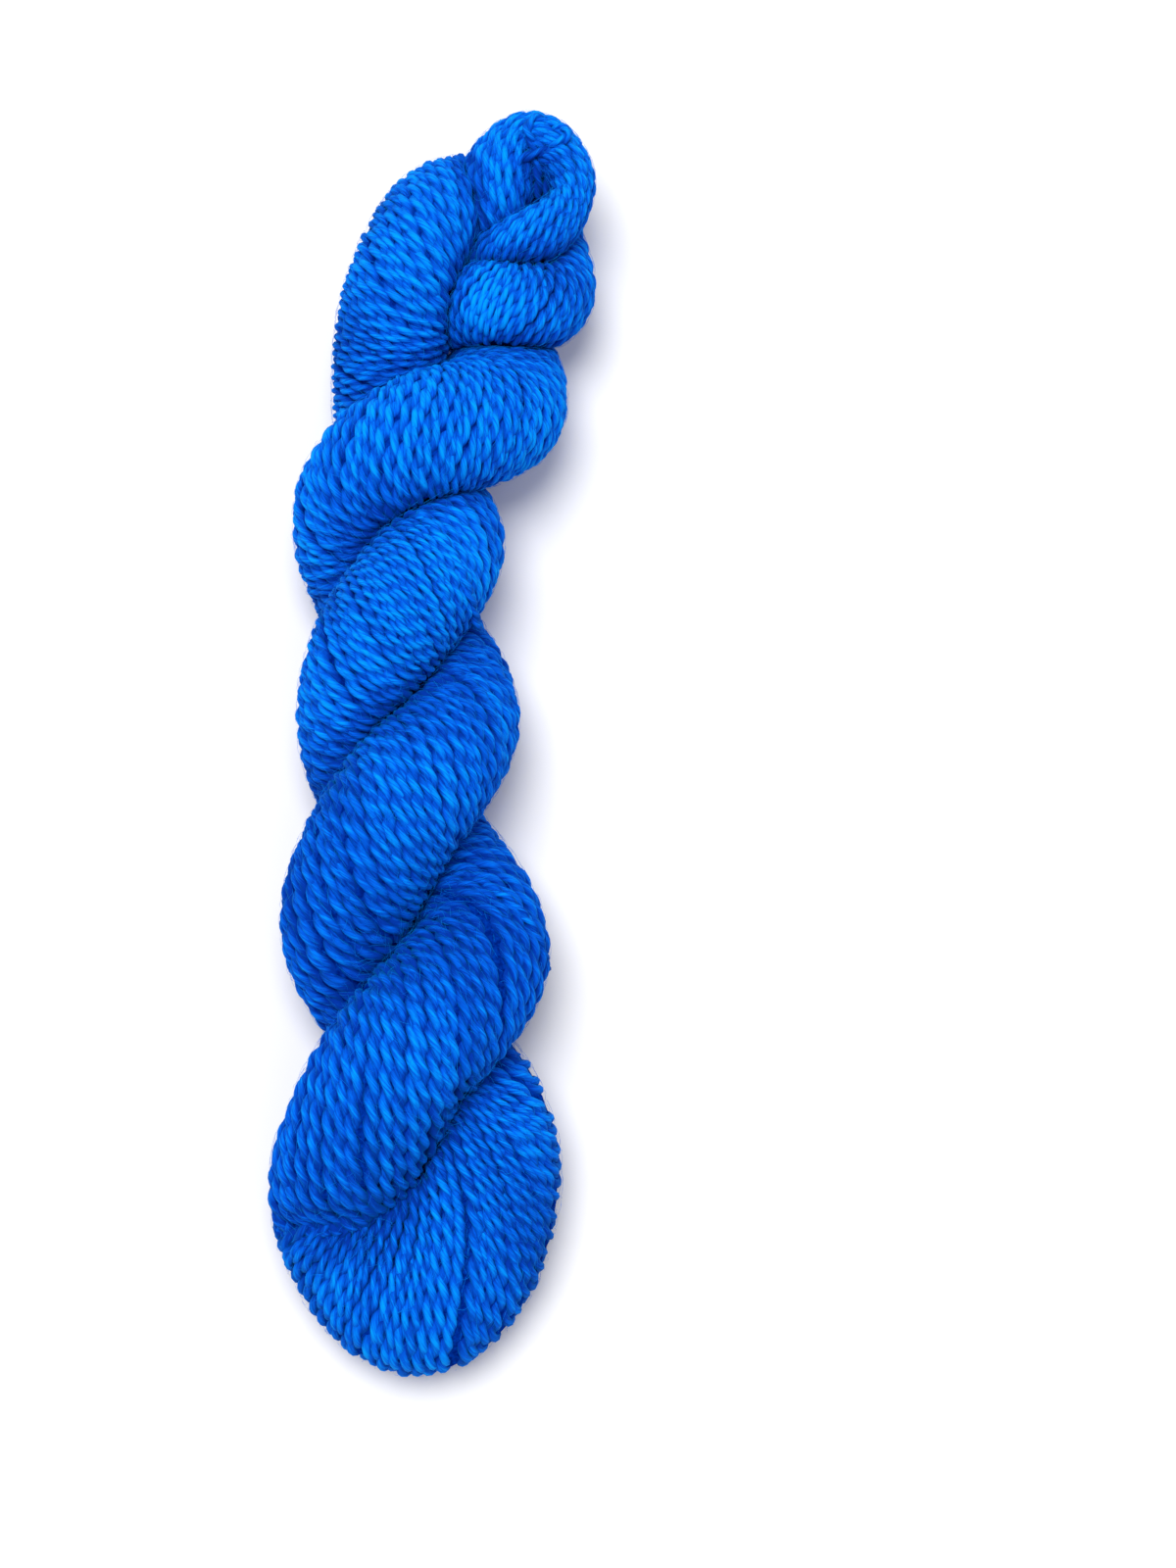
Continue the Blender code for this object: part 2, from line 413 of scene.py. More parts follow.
corner = ramp(-beyond_crease(skin), *CORNER_SLOPE) * ramp(skin[..., 0], *CORNER_ENDS)
corner *= stretch(19.0, 19.3, 20.8, 21.2)
pressed = corner * np.maximum(skin[..., 2] - FOLD_LEVEL, 0.0)
skin[..., 2] -= pressed
print("corner pressed down by up to, mm:", round(float(pressed.max()) * 1000, 1))

# %% [markdown]
# ## How the yarn lies
#
# The strand is a bundle of yarns that was twisted before it was folded, so its yarns wind round it like the
# stripes on a candy cane, each one all the way from one end of the strand to the other. How steeply they
# wind differs: hardly at all in the end loop, nearly square to the strand at the second crossing. Drawing
# each yarn by hand would take days; a table of the angle between yarn and strand takes a few looks at the
# real thing. 25.5 is halfway between two stations.

# %% The lay of the yarn
Lay = namedtuple("Lay", "station angle")

YARN_LAY = [
    Lay(0.0, 36),
    Lay(1.0, 16),
    Lay(2.0, 7),
    Lay(3.0, -8),
    Lay(4.0, 7),
    Lay(5.0, 16),
    Lay(6.0, 22),
    Lay(7.0, 44),
    Lay(8.0, 71),
    Lay(9.0, 63),
    Lay(9.5, 50),
    Lay(10.0, 64),
    Lay(11.0, 58),
    Lay(12.0, 62),
    Lay(13.0, 61),
    Lay(13.5, 56),
    Lay(14.0, 39),
    Lay(15.0, 26),
    Lay(16.0, 39),
    Lay(17.0, 31),
    Lay(18.0, 72),
    Lay(19.0, 62),
    Lay(20.0, 29),
    Lay(20.5, 34),
    Lay(21.0, 58),
    Lay(21.5, 64),
    Lay(22.0, 44),
    Lay(23.0, 46),
    Lay(24.0, 58),
    Lay(24.5, 62),
    Lay(25.0, 76),
    Lay(25.5, 65),
    Lay(26.0, 58),
    Lay(27.0, 68),
    Lay(28.0, 82),
    Lay(29.0, 56),
    Lay(30.0, 42),
    Lay(31.0, 46),
    Lay(32.0, 46),
    Lay(33.0, 50),
    Lay(34.0, 54),
    Lay(35.0, 71),
    Lay(36.0, 74),
    Lay(37.0, 74),
]
print(len(YARN_LAY), "angles along the strand")

# %% [markdown]
# Straight from one row of the table to the next, the angle would put a kink in every yarn at each row, so a
# running mean evens it out. The angle's tangent over the half width gives how fast a yarn goes round the
# strand, and the running sum of that gives where it is.

# %% How the yarn winds
LAY_SMOOTHING = 0.006       # length over which the angle is evened out


def raised_cosine(half):
    """Weights for a mean over a number of samples either way: one plus the cosine, over one full turn."""
    return 1 + np.cos(np.linspace(-math.pi, math.pi, 2 * half + 1))


def running_mean(rows, half):
    """Each row evened out over a number of samples either way, with its end values carried on."""
    weights = raised_cosine(half)
    padded = np.pad(rows, ((0, 0), (half, half)), mode="edge")
    return np.stack([np.convolve(row, weights / weights.sum(), "valid") for row in padded])


lay_rows = np.array(YARN_LAY)
lay_length = np.interp(lay_rows[:, 0], np.arange(len(stations)), station_length)
lay_angle = np.interp(strand_length, lay_length, np.radians(lay_rows[:, 1]))
lay_angle = running_mean(lay_angle[None], int(LAY_SMOOTHING / STRAND_STEP))[0]
winding_rate = -np.tan(lay_angle) / half_width
winding = running_sum((winding_rate[1:] + winding_rate[:-1]) / 2 * STRAND_STEP)
print("a yarn winds", round(abs(winding[-1]) / math.tau, 1), "times round the strand")

# %% [markdown]
# The skin is a grid, but yarns run between its points. One helper reads any grid of values at any place and
# angle, from the four grid points round it; it works for points, directions and plain numbers alike. The
# skin's outward direction is worked out once for the whole grid and evened out round the strand.

# %% Reading the skin
SPOKES_EVENED = 3           # either way, when the outward directions are evened out


def on_grid(grid, place, angle):
    """Values of a grid (places by spokes) between its points: the four round a point, blended by nearness."""
    place = np.clip(place, 0, len(grid) - 1.001)     # just short of the last row, which has none after it
    row = place.astype(int)
    down = (place - row)[..., None]
    column = np.mod(angle / math.tau * SPOKES, SPOKES)
    left = column.astype(int) % SPOKES
    right = (left + 1) % SPOKES
    over = (column - np.floor(column))[..., None]
    upper = grid[row, left] * (1 - over) + grid[row, right] * over
    lower = grid[row + 1, left] * (1 - over) + grid[row + 1, right] * over
    return upper * (1 - down) + lower * down


down_strand = np.gradient(skin, axis=0)
round_strand = (np.roll(skin, -1, axis=1) - np.roll(skin, 1, axis=1)) / 2
outward = unit(np.cross(round_strand, down_strand))
outward *= np.sign((outward * spokes).sum(axis=-1, keepdims=True))
neighbours = range(-SPOKES_EVENED, SPOKES_EVENED + 1)
outward = unit(sum(np.roll(outward, steps, axis=1) for steps in neighbours))
print("skin grid:", outward.shape[:2])

# %% [markdown]
# ## The fan at the fold
#
# At the fold the yarns spread like a fan: they come out of the crease and run down over the rim. No winding
# gives that, and combed hair would leave their number and spacing to chance. So the fan's yarns follow
# headings. Each row of the table stands for one y and tells which way the yarn points at five places across
# the fold, in degrees from +X, seen from above. Between the places the headings blend.

# %% Headings of the fan
FanRow = namedtuple("FanRow", "y far_left left middle right far_right")

FAN_ROWS = [
    FanRow(-0.0790, 25, 40, 112, 135, 150),
    FanRow(-0.0870, 25, 40, 110, 122, 142),
    FanRow(-0.0970, 25, 45, 105, 112, 120),
    FanRow(-0.1070, 25, 50, 100, 108, 110),
    FanRow(-0.1150, 25, 55, 88, 95, 103),
    FanRow(-0.1220, 35, 62, 85, 88, 94),
    FanRow(-0.1300, 45, 62, 81, 83, 88),
    FanRow(-0.1380, 55, 66, 80, 82, 84),
    FanRow(-0.1470, 60, 68, 80, 82, 82),
]
FAN_COLUMNS = (-0.0277, -0.0141, -0.0007, 0.0093, 0.0188)      # x of the five places


def share_between(values, marks):
    """Which pair of rising marks a value lies between, and what share of the way it is to the second."""
    marks = np.array(marks)
    pair = np.clip(np.searchsorted(marks, values) - 1, 0, len(marks) - 2)
    return pair, np.clip((values - marks[pair]) / (marks[pair + 1] - marks[pair]), 0.0, 1.0)


def fan_heading(x, y):
    """The heading at a spot, in radians, blended from the four entries of the table round it."""
    table = np.array(FAN_ROWS)[::-1]
    row, up = share_between(y, table[:, 0])
    column, right = share_between(x, FAN_COLUMNS)
    headings = np.radians(table[:, 1:])
    lower = headings[row, column] * (1 - right) + headings[row, column + 1] * right
    upper = headings[row + 1, column] * (1 - right) + headings[row + 1, column + 1] * right
    return lower * (1 - up) + upper * up


heading = fan_heading(skin[..., 0], skin[..., 1])
print("headings of the fan, degrees:", np.degrees([heading.min(), heading.max()]).round())

# %% [markdown]
# A yarn is traced in small steps, flat on the skin and in the upright plane of its heading. The skin is a
# grid, so each step has to be told in the grid's own terms: how many places along the strand, and how far
# round it. Two directions that aren't square to each other share a step by solving two small equations.

# %% Steps on the skin's grid
SMALLEST_CELL = 0.0000001   # of the skin's grid, in square metres, so that pinched cells don't matter
FASTEST = 5000.0            # grid steps per metre of yarn

upright = np.stack([-np.sin(heading), np.cos(heading), np.zeros_like(heading)], axis=-1)
flow = unit(np.cross(upright, outward))


def dot(first, second):
    """The sum of the products of two vectors' parts: how far one goes along the other."""
    return (first * second).sum(axis=-1)


def grid_rate(way, down, beside):
    """How fast place and angle change per metre walked in a direction, given the grid's two directions.

    The way is a sum of so much of the one and so much of the other. Its products with both give two
    equations, which are solved by dividing by the square of the grid cell's area.
    """
    down_square, beside_square, slant = dot(down, down), dot(beside, beside), dot(down, beside)
    area = np.maximum(down_square * beside_square - slant**2, SMALLEST_CELL**2)
    place_rate = (beside_square * dot(way, down) - slant * dot(way, beside)) / area
    spoke_rate = (down_square * dot(way, beside) - slant * dot(way, down)) / area
    rate = np.clip(np.stack([place_rate, spoke_rate], axis=-1), -FASTEST, FASTEST)
    return rate * (1.0, math.tau / SPOKES)


flow_rate = grid_rate(flow, down_strand, round_strand)
fastest_turn = float(np.abs(flow_rate[..., 1]).max())
print("fastest turn round the strand, radians per mm:", round(fastest_turn / 1000, 2))

# %% [markdown]
# The fan's yarns start side by side on a guide, a line round the fold close to its rim, where they all show.
# Even steps along the guide would crowd them where they leave it at a slant, so they stand evenly apart when
# measured square to the yarn.

# %% The guide near the rim
FAN_GUIDE = [
    Spot(0.0180, -0.0765),
    Spot(0.0225, -0.0840),
    Spot(0.0252, -0.0930),
    Spot(0.0264, -0.1031),
    Spot(0.0256, -0.1115),
    Spot(0.0232, -0.1205),
    Spot(0.0196, -0.1290),
    Spot(0.0140, -0.1360),
    Spot(0.0066, -0.1415),
    Spot(-0.0020, -0.1436),
    Spot(-0.0118, -0.1415),
    Spot(-0.0182, -0.1375),
    Spot(-0.0230, -0.1330),
    Spot(-0.0264, -0.1285),
    Spot(-0.0290, -0.1235),
    Spot(-0.0312, -0.1185),
    Spot(-0.0326, -0.1162),
    Spot(-0.0334, -0.1146),
]
FAN_SPACING = 0.0024
LEAST_PROGRESS = 0.65       # where yarns run nearly along the guide they would leave its wall bare
GUIDE_READS = 1000


def fan_starts():
    """Spots on the guide at even progress.

    The progress of a step along the guide is the part of it that is square to the yarns, but no less than a
    fixed share of the whole step.
    """
    guide = np.array(FAN_GUIDE)
    length = running_length(guide)
    spots = smooth_curve(length, guide, np.linspace(0.0, length[-1], GUIDE_READS))
    step = np.gradient(spots, axis=0)
    ways = fan_heading(spots[:, 0], spots[:, 1])
    square = np.abs(step[:, 0] * np.sin(ways) - step[:, 1] * np.cos(ways))
    progress = np.cumsum(np.maximum(square, LEAST_PROGRESS * np.hypot(step[:, 0], step[:, 1])))
    wanted = np.arange(progress[0], progress[-1], FAN_SPACING)
    return np.stack([np.interp(wanted, progress, spots[:, axis]) for axis in (0, 1)], axis=1)


starts_on_plan = fan_starts()
print(len(starts_on_plan), "yarns in the fan")

# %% [markdown]
# Each yarn is traced both ways from the guide, down under the rim and up over the fold. Its start is the spot
# of the skin's upper side that lies nearest to it on the floor plan.

# %% Tracing the fan
TRACE_STEP = 0.0005
TRACE_STEPS = 100           # each way from the guide
FOLD_SHOWS = 15.2           # station from which the fold lies clear of the crossing above it
GUIDE_ENDS = 20.5           # station past which no yarn of the fan starts
UPPER_SIDE = 0.1            # upward share of the outward direction there
IN_THE_OPEN = 0.9           # nearness from which the skin is out of the creases


def trace(place, angle, step):
    """Places and angles of yarns that follow the flow from where they start, a row for each yarn.

    Each step adds to place and angle their rates at the spot reached, times the step's length.
    """
    places, angles_round = [place], [angle]
    for _ in range(TRACE_STEPS):
        rate = on_grid(flow_rate, place, angle)
        place = place + step * rate[:, 0]
        angle = angle + step * rate[:, 1]
        places.append(place)
        angles_round.append(angle)
    return np.stack(places, axis=1), np.stack(angles_round, axis=1)


on_top = (outward[..., 2] > UPPER_SIDE) & (free > IN_THE_OPEN)
on_top &= (row_place > place_of(FOLD_SHOWS)) & (row_place < place_of(GUIDE_ENDS))
top_rows, top_spokes = np.nonzero(on_top)
top_points = skin[top_rows, top_spokes, :2]
nearest_top = ((starts_on_plan[:, None] - top_points[None]) ** 2).sum(axis=2).argmin(axis=1)
fan_place, fan_angle = top_rows[nearest_top].astype(float), angles[top_spokes[nearest_top]]
inward = trace(fan_place, fan_angle, TRACE_STEP)
downward = trace(fan_place, fan_angle, -TRACE_STEP)
fan_place, fan_angle = (
    np.concatenate([down_rim[:, :0:-1], to_crease], axis=1) for down_rim, to_crease in zip(downward, inward)
)
fan_skin = on_grid(skin, fan_place, fan_angle)
fan_outward = unit(on_grid(outward, fan_place, fan_angle))
fan_free = on_grid(free[..., None], fan_place, fan_angle)[..., 0]
print("the fan's yarns reach from place", fan_place.min().round(), "to", fan_place.max().round())

# %% [markdown]
# From the guide down to the rim the fan's yarns stay on the skin. Up towards the crease they cross the gap
# on the inside of the strand's bend, where there is no skin. A cloth laid over the fold would bridge it, and
# a simulation could find its shape, but a grid of heights does the same in no time. Each cell takes the
# highest skin in it, the heights are grown and shrunk back to bridge the hollows, and then evened out.

# %% A sheet over the fold
SHEET_CELL = 0.0005
SHEET_CORNER = np.array([-0.045, -0.155])
SHEET_CELLS = (170, 210)
SHEET_TURNS = 360           # angles round the strand at which the skin is read for it
SHEET_ROWS = 0.25           # and places along it, in strand steps
SHEET_ENDS = 20.9           # station past which the strand adds nothing to it
FOLD_ALONE = 18.5           # station past which the strand is held down to the fold's level
SHEET_PAST_CREASE = 0.005   # how far the sheet runs on past the crease, level
BRIDGE = 9                  # cells either way that a hollow may have to be bridged
SHEET_SOFTNESS = 5          # cells either way over which the sheet is evened out
SHEET_PASSES = 2
LEAST_COVER = 0.001         # of a cell, below which it counts as bare


def over_cells(values, reach_cells, combine):
    """Each cell combined with its neighbours, first along one side of the grid, then along the other."""
    for axis in (0, 1):
        steps = range(-reach_cells, reach_cells + 1)
        values = combine([np.roll(values, step, axis=axis) for step in steps], axis=0)
    return values


def sheet_heights():
    """Heights of a sheet over the fold: the highest skin in each cell, hollows bridged, then evened out.

    To bridge, each cell takes the highest of its neighbours, and after that the lowest. To even out, each
    takes their mean, divided by the share of them that is covered.
    """
    rows = np.arange(place_of(FOLD_SHOWS), place_of(SHEET_ENDS), SHEET_ROWS)
    turns = np.arange(SHEET_TURNS) * math.tau / SHEET_TURNS
    rows, turns = np.meshgrid(rows, turns, indexing="ij")
    points = on_grid(skin, rows, turns)
    fold = rows < place_of(FOLD_ALONE)
    points[..., 2] = np.where(fold, points[..., 2], np.minimum(points[..., 2], FOLD_LEVEL))
    chosen = points[fold | (beyond_crease(points) < SHEET_PAST_CREASE)]
    cells = ((chosen[:, :2] - SHEET_CORNER) / SHEET_CELL).astype(int)
    heights = np.zeros(SHEET_CELLS)
    np.maximum.at(heights, (cells[:, 0], cells[:, 1]), chosen[:, 2])
    bridged = over_cells(over_cells(heights, BRIDGE, np.max), BRIDGE, np.min)
    covered = (bridged > LEAST_COVER).astype(float)
    for _ in range(SHEET_PASSES):
        bridged = over_cells(bridged * covered, SHEET_SOFTNESS, np.mean)
        bridged /= np.maximum(over_cells(covered, SHEET_SOFTNESS, np.mean), LEAST_COVER)
    return bridged


def on_sheet(values, x, y):
    """Values of the sheet's grid between its cells: the four round a spot, blended by nearness."""
    across, up = (x - SHEET_CORNER[0]) / SHEET_CELL - 0.5, (y - SHEET_CORNER[1]) / SHEET_CELL - 0.5
    column = np.clip(across.astype(int), 0, SHEET_CELLS[0] - 2)
    row = np.clip(up.astype(int), 0, SHEET_CELLS[1] - 2)
    right, upper = np.clip(across - column, 0.0, 1.0), np.clip(up - row, 0.0, 1.0)
    below = values[column, row] * (1 - right) + values[column + 1, row] * right
    above = values[column, row + 1] * (1 - right) + values[column + 1, row + 1] * right
    return below * (1 - upper) + above * upper


sheet = sheet_heights()
bend_height = on_sheet(sheet, np.array([-0.004]), np.array([-0.108]))
print("sheet's height over the bend, mm:", (bend_height * 1000).round(1))

# %% [markdown]
# The yarns leave the skin at the guide, settle on the sheet within a few millimetres and run on along their
# headings until they are buried past the crease. Stopping them right at the crease would show their cut
# ends. How much sky a yarn sees there grows with its distance from the crease; the painted shade of its
# tone follows from that.

# %% The fan's yarns over the sheet
SHEET_SETTLES = 0.003       # length over which a yarn comes from the skin to the sheet
CREASE_SHADE = 0.022        # distance from the crease over which the sky opens
LEAST_SKY, MOST_SKY = 0.95, 2.0


def over_sheet(start, start_outward):
    """Points and outward directions of yarns that walk over the sheet from where they start.

    Each step goes along the heading at its spot. The height is the sheet's, plus the gap between skin and
    sheet at the start, which fades with the length walked; the outward direction fades over likewise.
    """
    spots = [start[:, :2]]
    for _ in range(TRACE_STEPS):
        way = fan_heading(spots[-1][:, 0], spots[-1][:, 1])
        spots.append(spots[-1] + TRACE_STEP * np.stack([np.cos(way), np.sin(way)], axis=1))
    spots = np.stack(spots, axis=1)
    x, y = spots[..., 0], spots[..., 1]
    gap_left = np.exp(-np.arange(TRACE_STEPS + 1) * TRACE_STEP / SHEET_SETTLES)
    height = on_sheet(sheet, x, y)
    height = height + (start[:, 2] - height[:, 0])[:, None] * gap_left
    slope_x, slope_y = (on_sheet(slope / SHEET_CELL, x, y) for slope in np.gradient(sheet))
    sheet_outward = unit(np.stack([-slope_x, -slope_y, np.ones_like(height)], axis=-1))
    blend = sheet_outward * (1 - gap_left)[:, None] + start_outward[:, None] * gap_left[:, None]
    return np.stack([x, y, height], axis=-1), unit(blend)


walked_skin, walked_outward = over_sheet(fan_skin[:, TRACE_STEPS], fan_outward[:, TRACE_STEPS])
fan_skin[:, TRACE_STEPS:], fan_outward[:, TRACE_STEPS:] = walked_skin, walked_outward
fan_sky = fan_free.copy()
fan_sky[:, TRACE_STEPS:] = np.clip(1.0 - beyond_crease(walked_skin) / CREASE_SHADE, LEAST_SKY, MOST_SKY)
past_crease = beyond_crease(fan_skin) > TUCKED
past_crease[:, :TRACE_STEPS] = False
under_rope = (fan_place < place_of(FOLD_SHOWS)) & (np.arange(2 * TRACE_STEPS + 1) < TRACE_STEPS)
fan_hidden = (np.cumsum(past_crease, axis=1) > 0) | under_rope
print("share of the fan's yarns that shows:", round(float((~fan_hidden).mean()), 2))

# %% [markdown]
# ## The yarns
#
# No two stretches of a real yarn lie quite alike, and yarns drawn by machine look like wire. Two kinds of
# unevenness help: each yarn drifts slowly towards one neighbour or the other, and each one wanders a little,
# up and down and sideways. Bare random numbers would make it jump from point to point, so they are evened
# out over a length. Their seed stays the same, so that the hank does too.

# %% Unevenness
YARNS = 25                  # round the strand
YARN_STEP = 0.5             # distance between the places where a yarn is worked out, in strand steps
DRIFT = 0.05                # of a yarn round the strand, in radians
DRIFT_LENGTH = 0.040
WANDER = 0.00014
WANDER_LENGTH = 0.012
random = np.random.default_rng(7)


def evened(rows, samples, length):
    """Smooth unevenness of unit size for each yarn: random numbers under a raised cosine of that length."""
    weights = raised_cosine(int(length / (YARN_STEP * STRAND_STEP)))
    noise = random.standard_normal((rows, samples + len(weights) - 1))
    smooth = np.stack([np.convolve(row, weights, "valid") for row in noise])
    return smooth / np.sqrt((weights**2).sum())


print("a yarn wanders over", int(WANDER_LENGTH / (YARN_STEP * STRAND_STEP)), "samples either way")

# %% [markdown]
# A yarn is as thick as its neighbours leave it room, and a little more, because soft yarns press into each
# other. On the inside of a bend there isn't room for all of them, and every other one sinks under its
# neighbours. Laying the yarns as bevelled curves would be shorter, but every curve would be round and would
# keep the same distance from the skin.

# %% Laying yarns on the skin
CREASE = 0.76               # nearness below which a yarn is hidden in a crease
OPEN = 1                    # nearness from which the strand is free, for the numbers printed below
THINNEST, THICKEST = 0.0021, 0.0032     # a yarn's thickness follows its spacing between these
SOFTNESS = 1.22             # how much thicker than their spacing the yarns are
PLY_RADIUS = 0.35           # in the yarn's size
PLY_ASIDE = 0.27            # how far a ply's middle goes to the side of the yarn's middle, in the same
PLY_OUT = 0.25              # and how far outward: the yarns press each other and lie a little flat
CROWDED = 0.0018            # spacing below which every other yarn sinks
CROWDED_OUT = CROWDED / 2   # and below which half of the others do
MOST_SUNK = (0.5, 0.8)      # how far the first and the second kind may sink
SINK_DEPTH = 2.2            # of a yarn sunk altogether, in its size
SPACING_SAMPLES = 12        # either way, when the spacing is evened out

Yarns = namedtuple("Yarns", "place middle outward size sunk sky shown length")


def spacing_of(on_skin, way, closed_round):
    """How far apart the yarns lie: the distance to the next yarn, square to its way, and to the last one."""
    between = np.roll(on_skin, -1, axis=0) - on_skin
    gap = np.linalg.norm(between - dot(between, way)[..., None] * way, axis=2)
    if not closed_round:
        gap[-1] = gap[-2]
    gap_before = np.roll(gap, 1, axis=0)
    if not closed_round:
        gap_before[0] = gap[0]
    return running_mean((gap + gap_before) / 2, SPACING_SAMPLES)


def lay_yarns(place, on_skin, yarn_outward, open_sky, hidden, closed_round):
    """Yarns along rows of points on the skin; closed_round if the last row lies beside the first.

    The middle lies under the skin by what the plies stand out from it, plus what it has sunk and wandered.
    """
    rows, samples = place.shape
    way = unit(np.gradient(on_skin, axis=1))
    spacing = spacing_of(on_skin, way, closed_round)
    number = np.arange(rows)
    sunk = (number % 2 == 1)[:, None] * np.clip(1.0 - spacing / CROWDED, 0.0, MOST_SUNK[0])
    sunk = sunk + (number % 4 == 2)[:, None] * np.clip(1.0 - spacing / CROWDED_OUT, 0.0, MOST_SUNK[1])
    size = np.clip(spacing * SOFTNESS, THINNEST, THICKEST)
    depth = size * (PLY_OUT + PLY_RADIUS + SINK_DEPTH * sunk) + WANDER * evened(rows, samples, WANDER_LENGTH)
    aside = WANDER * evened(rows, samples, WANDER_LENGTH)
    middle = on_skin - yarn_outward * depth[..., None] + np.cross(yarn_outward, way) * aside[..., None]
    length = np.stack([running_length(row) for row in middle])
    shown = (open_sky > CREASE) & ~hidden
    print(rows, "yarns, spacing, mm:", (np.percentile(spacing[open_sky > OPEN], [5, 50, 95]) * 1000).round(2))
    return Yarns(np.array(place), middle, yarn_outward, size, sunk, open_sky, shown, length)


# %% [markdown]
# Elsewhere all yarns follow the same winding, each from its own start round the strand, so they never cross
# and their number stays the same, as in the real skein. They give way to the fan between its first yarn and
# the crease. On the strand that crosses the fold, the yarns come out of the crease's shade over a few
# millimetres.

# %% The wound yarns and the fan
EDGE_SHADE = 0.012          # distance from the fold's crease over which the strand above it comes into light
OVER_FOLD = (19, 21)        # stations between which the strand crosses the fold
EDGE_FREE = 0.7             # nearness from which the fan's first yarn shows and bounds the wound ones

yarn_place = np.arange(0.0, place_count - 1, YARN_STEP)
starts = np.arange(YARNS)[:, None] * math.tau / YARNS
wound_angle = starts + np.interp(yarn_place, np.arange(place_count), winding)
wound_angle = wound_angle + DRIFT * evened(YARNS, len(yarn_place), DRIFT_LENGTH)
wound_place = np.broadcast_to(yarn_place, wound_angle.shape)
wound_skin = on_grid(skin, wound_place, wound_angle)
wound_outward = unit(on_grid(outward, wound_place, wound_angle))
wound_free = on_grid(free[..., None], wound_place, wound_angle)[..., 0]

edge_shown = fan_free[0] > EDGE_FREE
fan_edge = np.interp(wound_angle, fan_angle[0][edge_shown], fan_place[0][edge_shown], period=math.tau)
fold_end, crossing_end = (place_of(station) for station in OVER_FOLD)
in_fan = (wound_place > fan_edge) & (wound_place < fold_end)
crossing = (wound_place >= fold_end) & (wound_place < crossing_end)
in_fan |= crossing & (beyond_crease(wound_skin) < -TUCKED)
over_fold = (wound_place > fold_end) & (wound_place < crossing_end) & (wound_outward[..., 2] > 0)
edge_sky = LEAST_SKY + np.abs(beyond_crease(wound_skin)) / EDGE_SHADE
wound_sky = np.where(over_fold, np.minimum(wound_free, edge_sky), wound_free)
wound_yarns = lay_yarns(wound_place, wound_skin, wound_outward, wound_sky, in_fan, closed_round=True)
fan_yarns = lay_yarns(fan_place, fan_skin, fan_outward, fan_sky, fan_hidden, closed_round=False)
print("yarns laid:", YARNS, "wound,", len(fan_yarns.length), "in the fan")

# %% [markdown]
# A few yarns have slipped out of the lay: two cross their neighbours on the plies, and some curl over the
# hollow of the end loop. They follow no rule, so each one is given on its own: a smooth line through a few
# spots, which dips under the others at its ends. Its station tells which part of the strand it belongs to.

# %% Spots of the yarns that slipped
Place = namedtuple("Place", "x y z")
Slipped = namedtuple("Slipped", "station spots")

SLIPPED = [
    Slipped(25, [
        Place(-0.0035, 0.0425, 0.0370),
        Place(-0.0009, 0.0391, 0.0400),
        Place(0.0040, 0.0320, 0.0402),
        Place(0.0072, 0.0249, 0.0382),
        Place(0.0086, 0.0208, 0.0330),
        Place(0.0090, 0.0185, 0.0290),
    ]),
    Slipped(22, [
        Place(0.0105, -0.0390, 0.0258),
        Place(0.0128, -0.0408, 0.0284),
        Place(0.0198, -0.0470, 0.0296),
        Place(0.0240, -0.0546, 0.0264),
        Place(0.0246, -0.0578, 0.0215),
    ]),
    Slipped(3, [
        Place(0.0226, 0.1338, 0.0270),
        Place(0.0204, 0.1362, 0.0300),
        Place(0.0200, 0.1396, 0.0298),
        Place(0.0222, 0.1418, 0.0290),
        Place(0.0250, 0.1410, 0.0270),
    ]),
    Slipped(3, [
        Place(0.0236, 0.1366, 0.0270),
        Place(0.0258, 0.1346, 0.0306),
        Place(0.0286, 0.1352, 0.0316),
        Place(0.0288, 0.1382, 0.0304),
        Place(0.0262, 0.1396, 0.0280),
    ]),
    Slipped(3, [
        Place(0.0160, 0.1296, 0.0260),
        Place(0.0192, 0.1318, 0.0290),
        Place(0.0226, 0.1326, 0.0298),
        Place(0.0262, 0.1330, 0.0300),
        Place(0.0280, 0.1310, 0.0270),
    ]),
    Slipped(3, [
        Place(0.0212, 0.1330, 0.0275),
        Place(0.0220, 0.1304, 0.0272),
        Place(0.0224, 0.1276, 0.0255),
        Place(0.0222, 0.1248, 0.0220),
    ]),
    Slipped(3, [
        Place(0.0242, 0.1322, 0.0280),
        Place(0.0246, 0.1294, 0.0270),
        Place(0.0246, 0.1266, 0.0248),
        Place(0.0238, 0.1240, 0.0215),
    ]),
]
print(len(SLIPPED), "yarns slipped")

# %% [markdown]
# Each line of spots becomes a yarn with the same values at its samples as the wound ones have, so that it can
# be cut, twisted and made a mesh together with them. Its outward side is up, and nothing hides it.

# %% Yarns that slipped
SLIPPED_SIZE = 0.0021
SLIPPED_SAMPLES = 60
SLIPPED_SKY = 1.4           # they lie on top, but not quite in the open


def slipped_yarns():
    """Yarns along smooth lines through their spots, read at even steps, with up as their outward side."""
    lines = []
    for slipped in SLIPPED:
        spots = np.array(slipped.spots)
        marks = running_length(spots)
        lines.append(smooth_curve(marks, spots, np.linspace(0.0, marks[-1], SLIPPED_SAMPLES)))
    middle = np.array(lines)
    shape = middle.shape[:2]
    station = np.array([slipped.station for slipped in SLIPPED])
    return Yarns(
        place=place_of(station)[:, None] + np.zeros(shape),
        middle=middle,
        outward=np.broadcast_to((0.0, 0.0, 1.0), middle.shape),
        size=np.full(shape, SLIPPED_SIZE),
        sunk=np.zeros(shape),
        sky=np.full(shape, SLIPPED_SKY),
        shown=np.ones(shape, bool),
        length=np.stack([running_length(row) for row in middle]),
    )


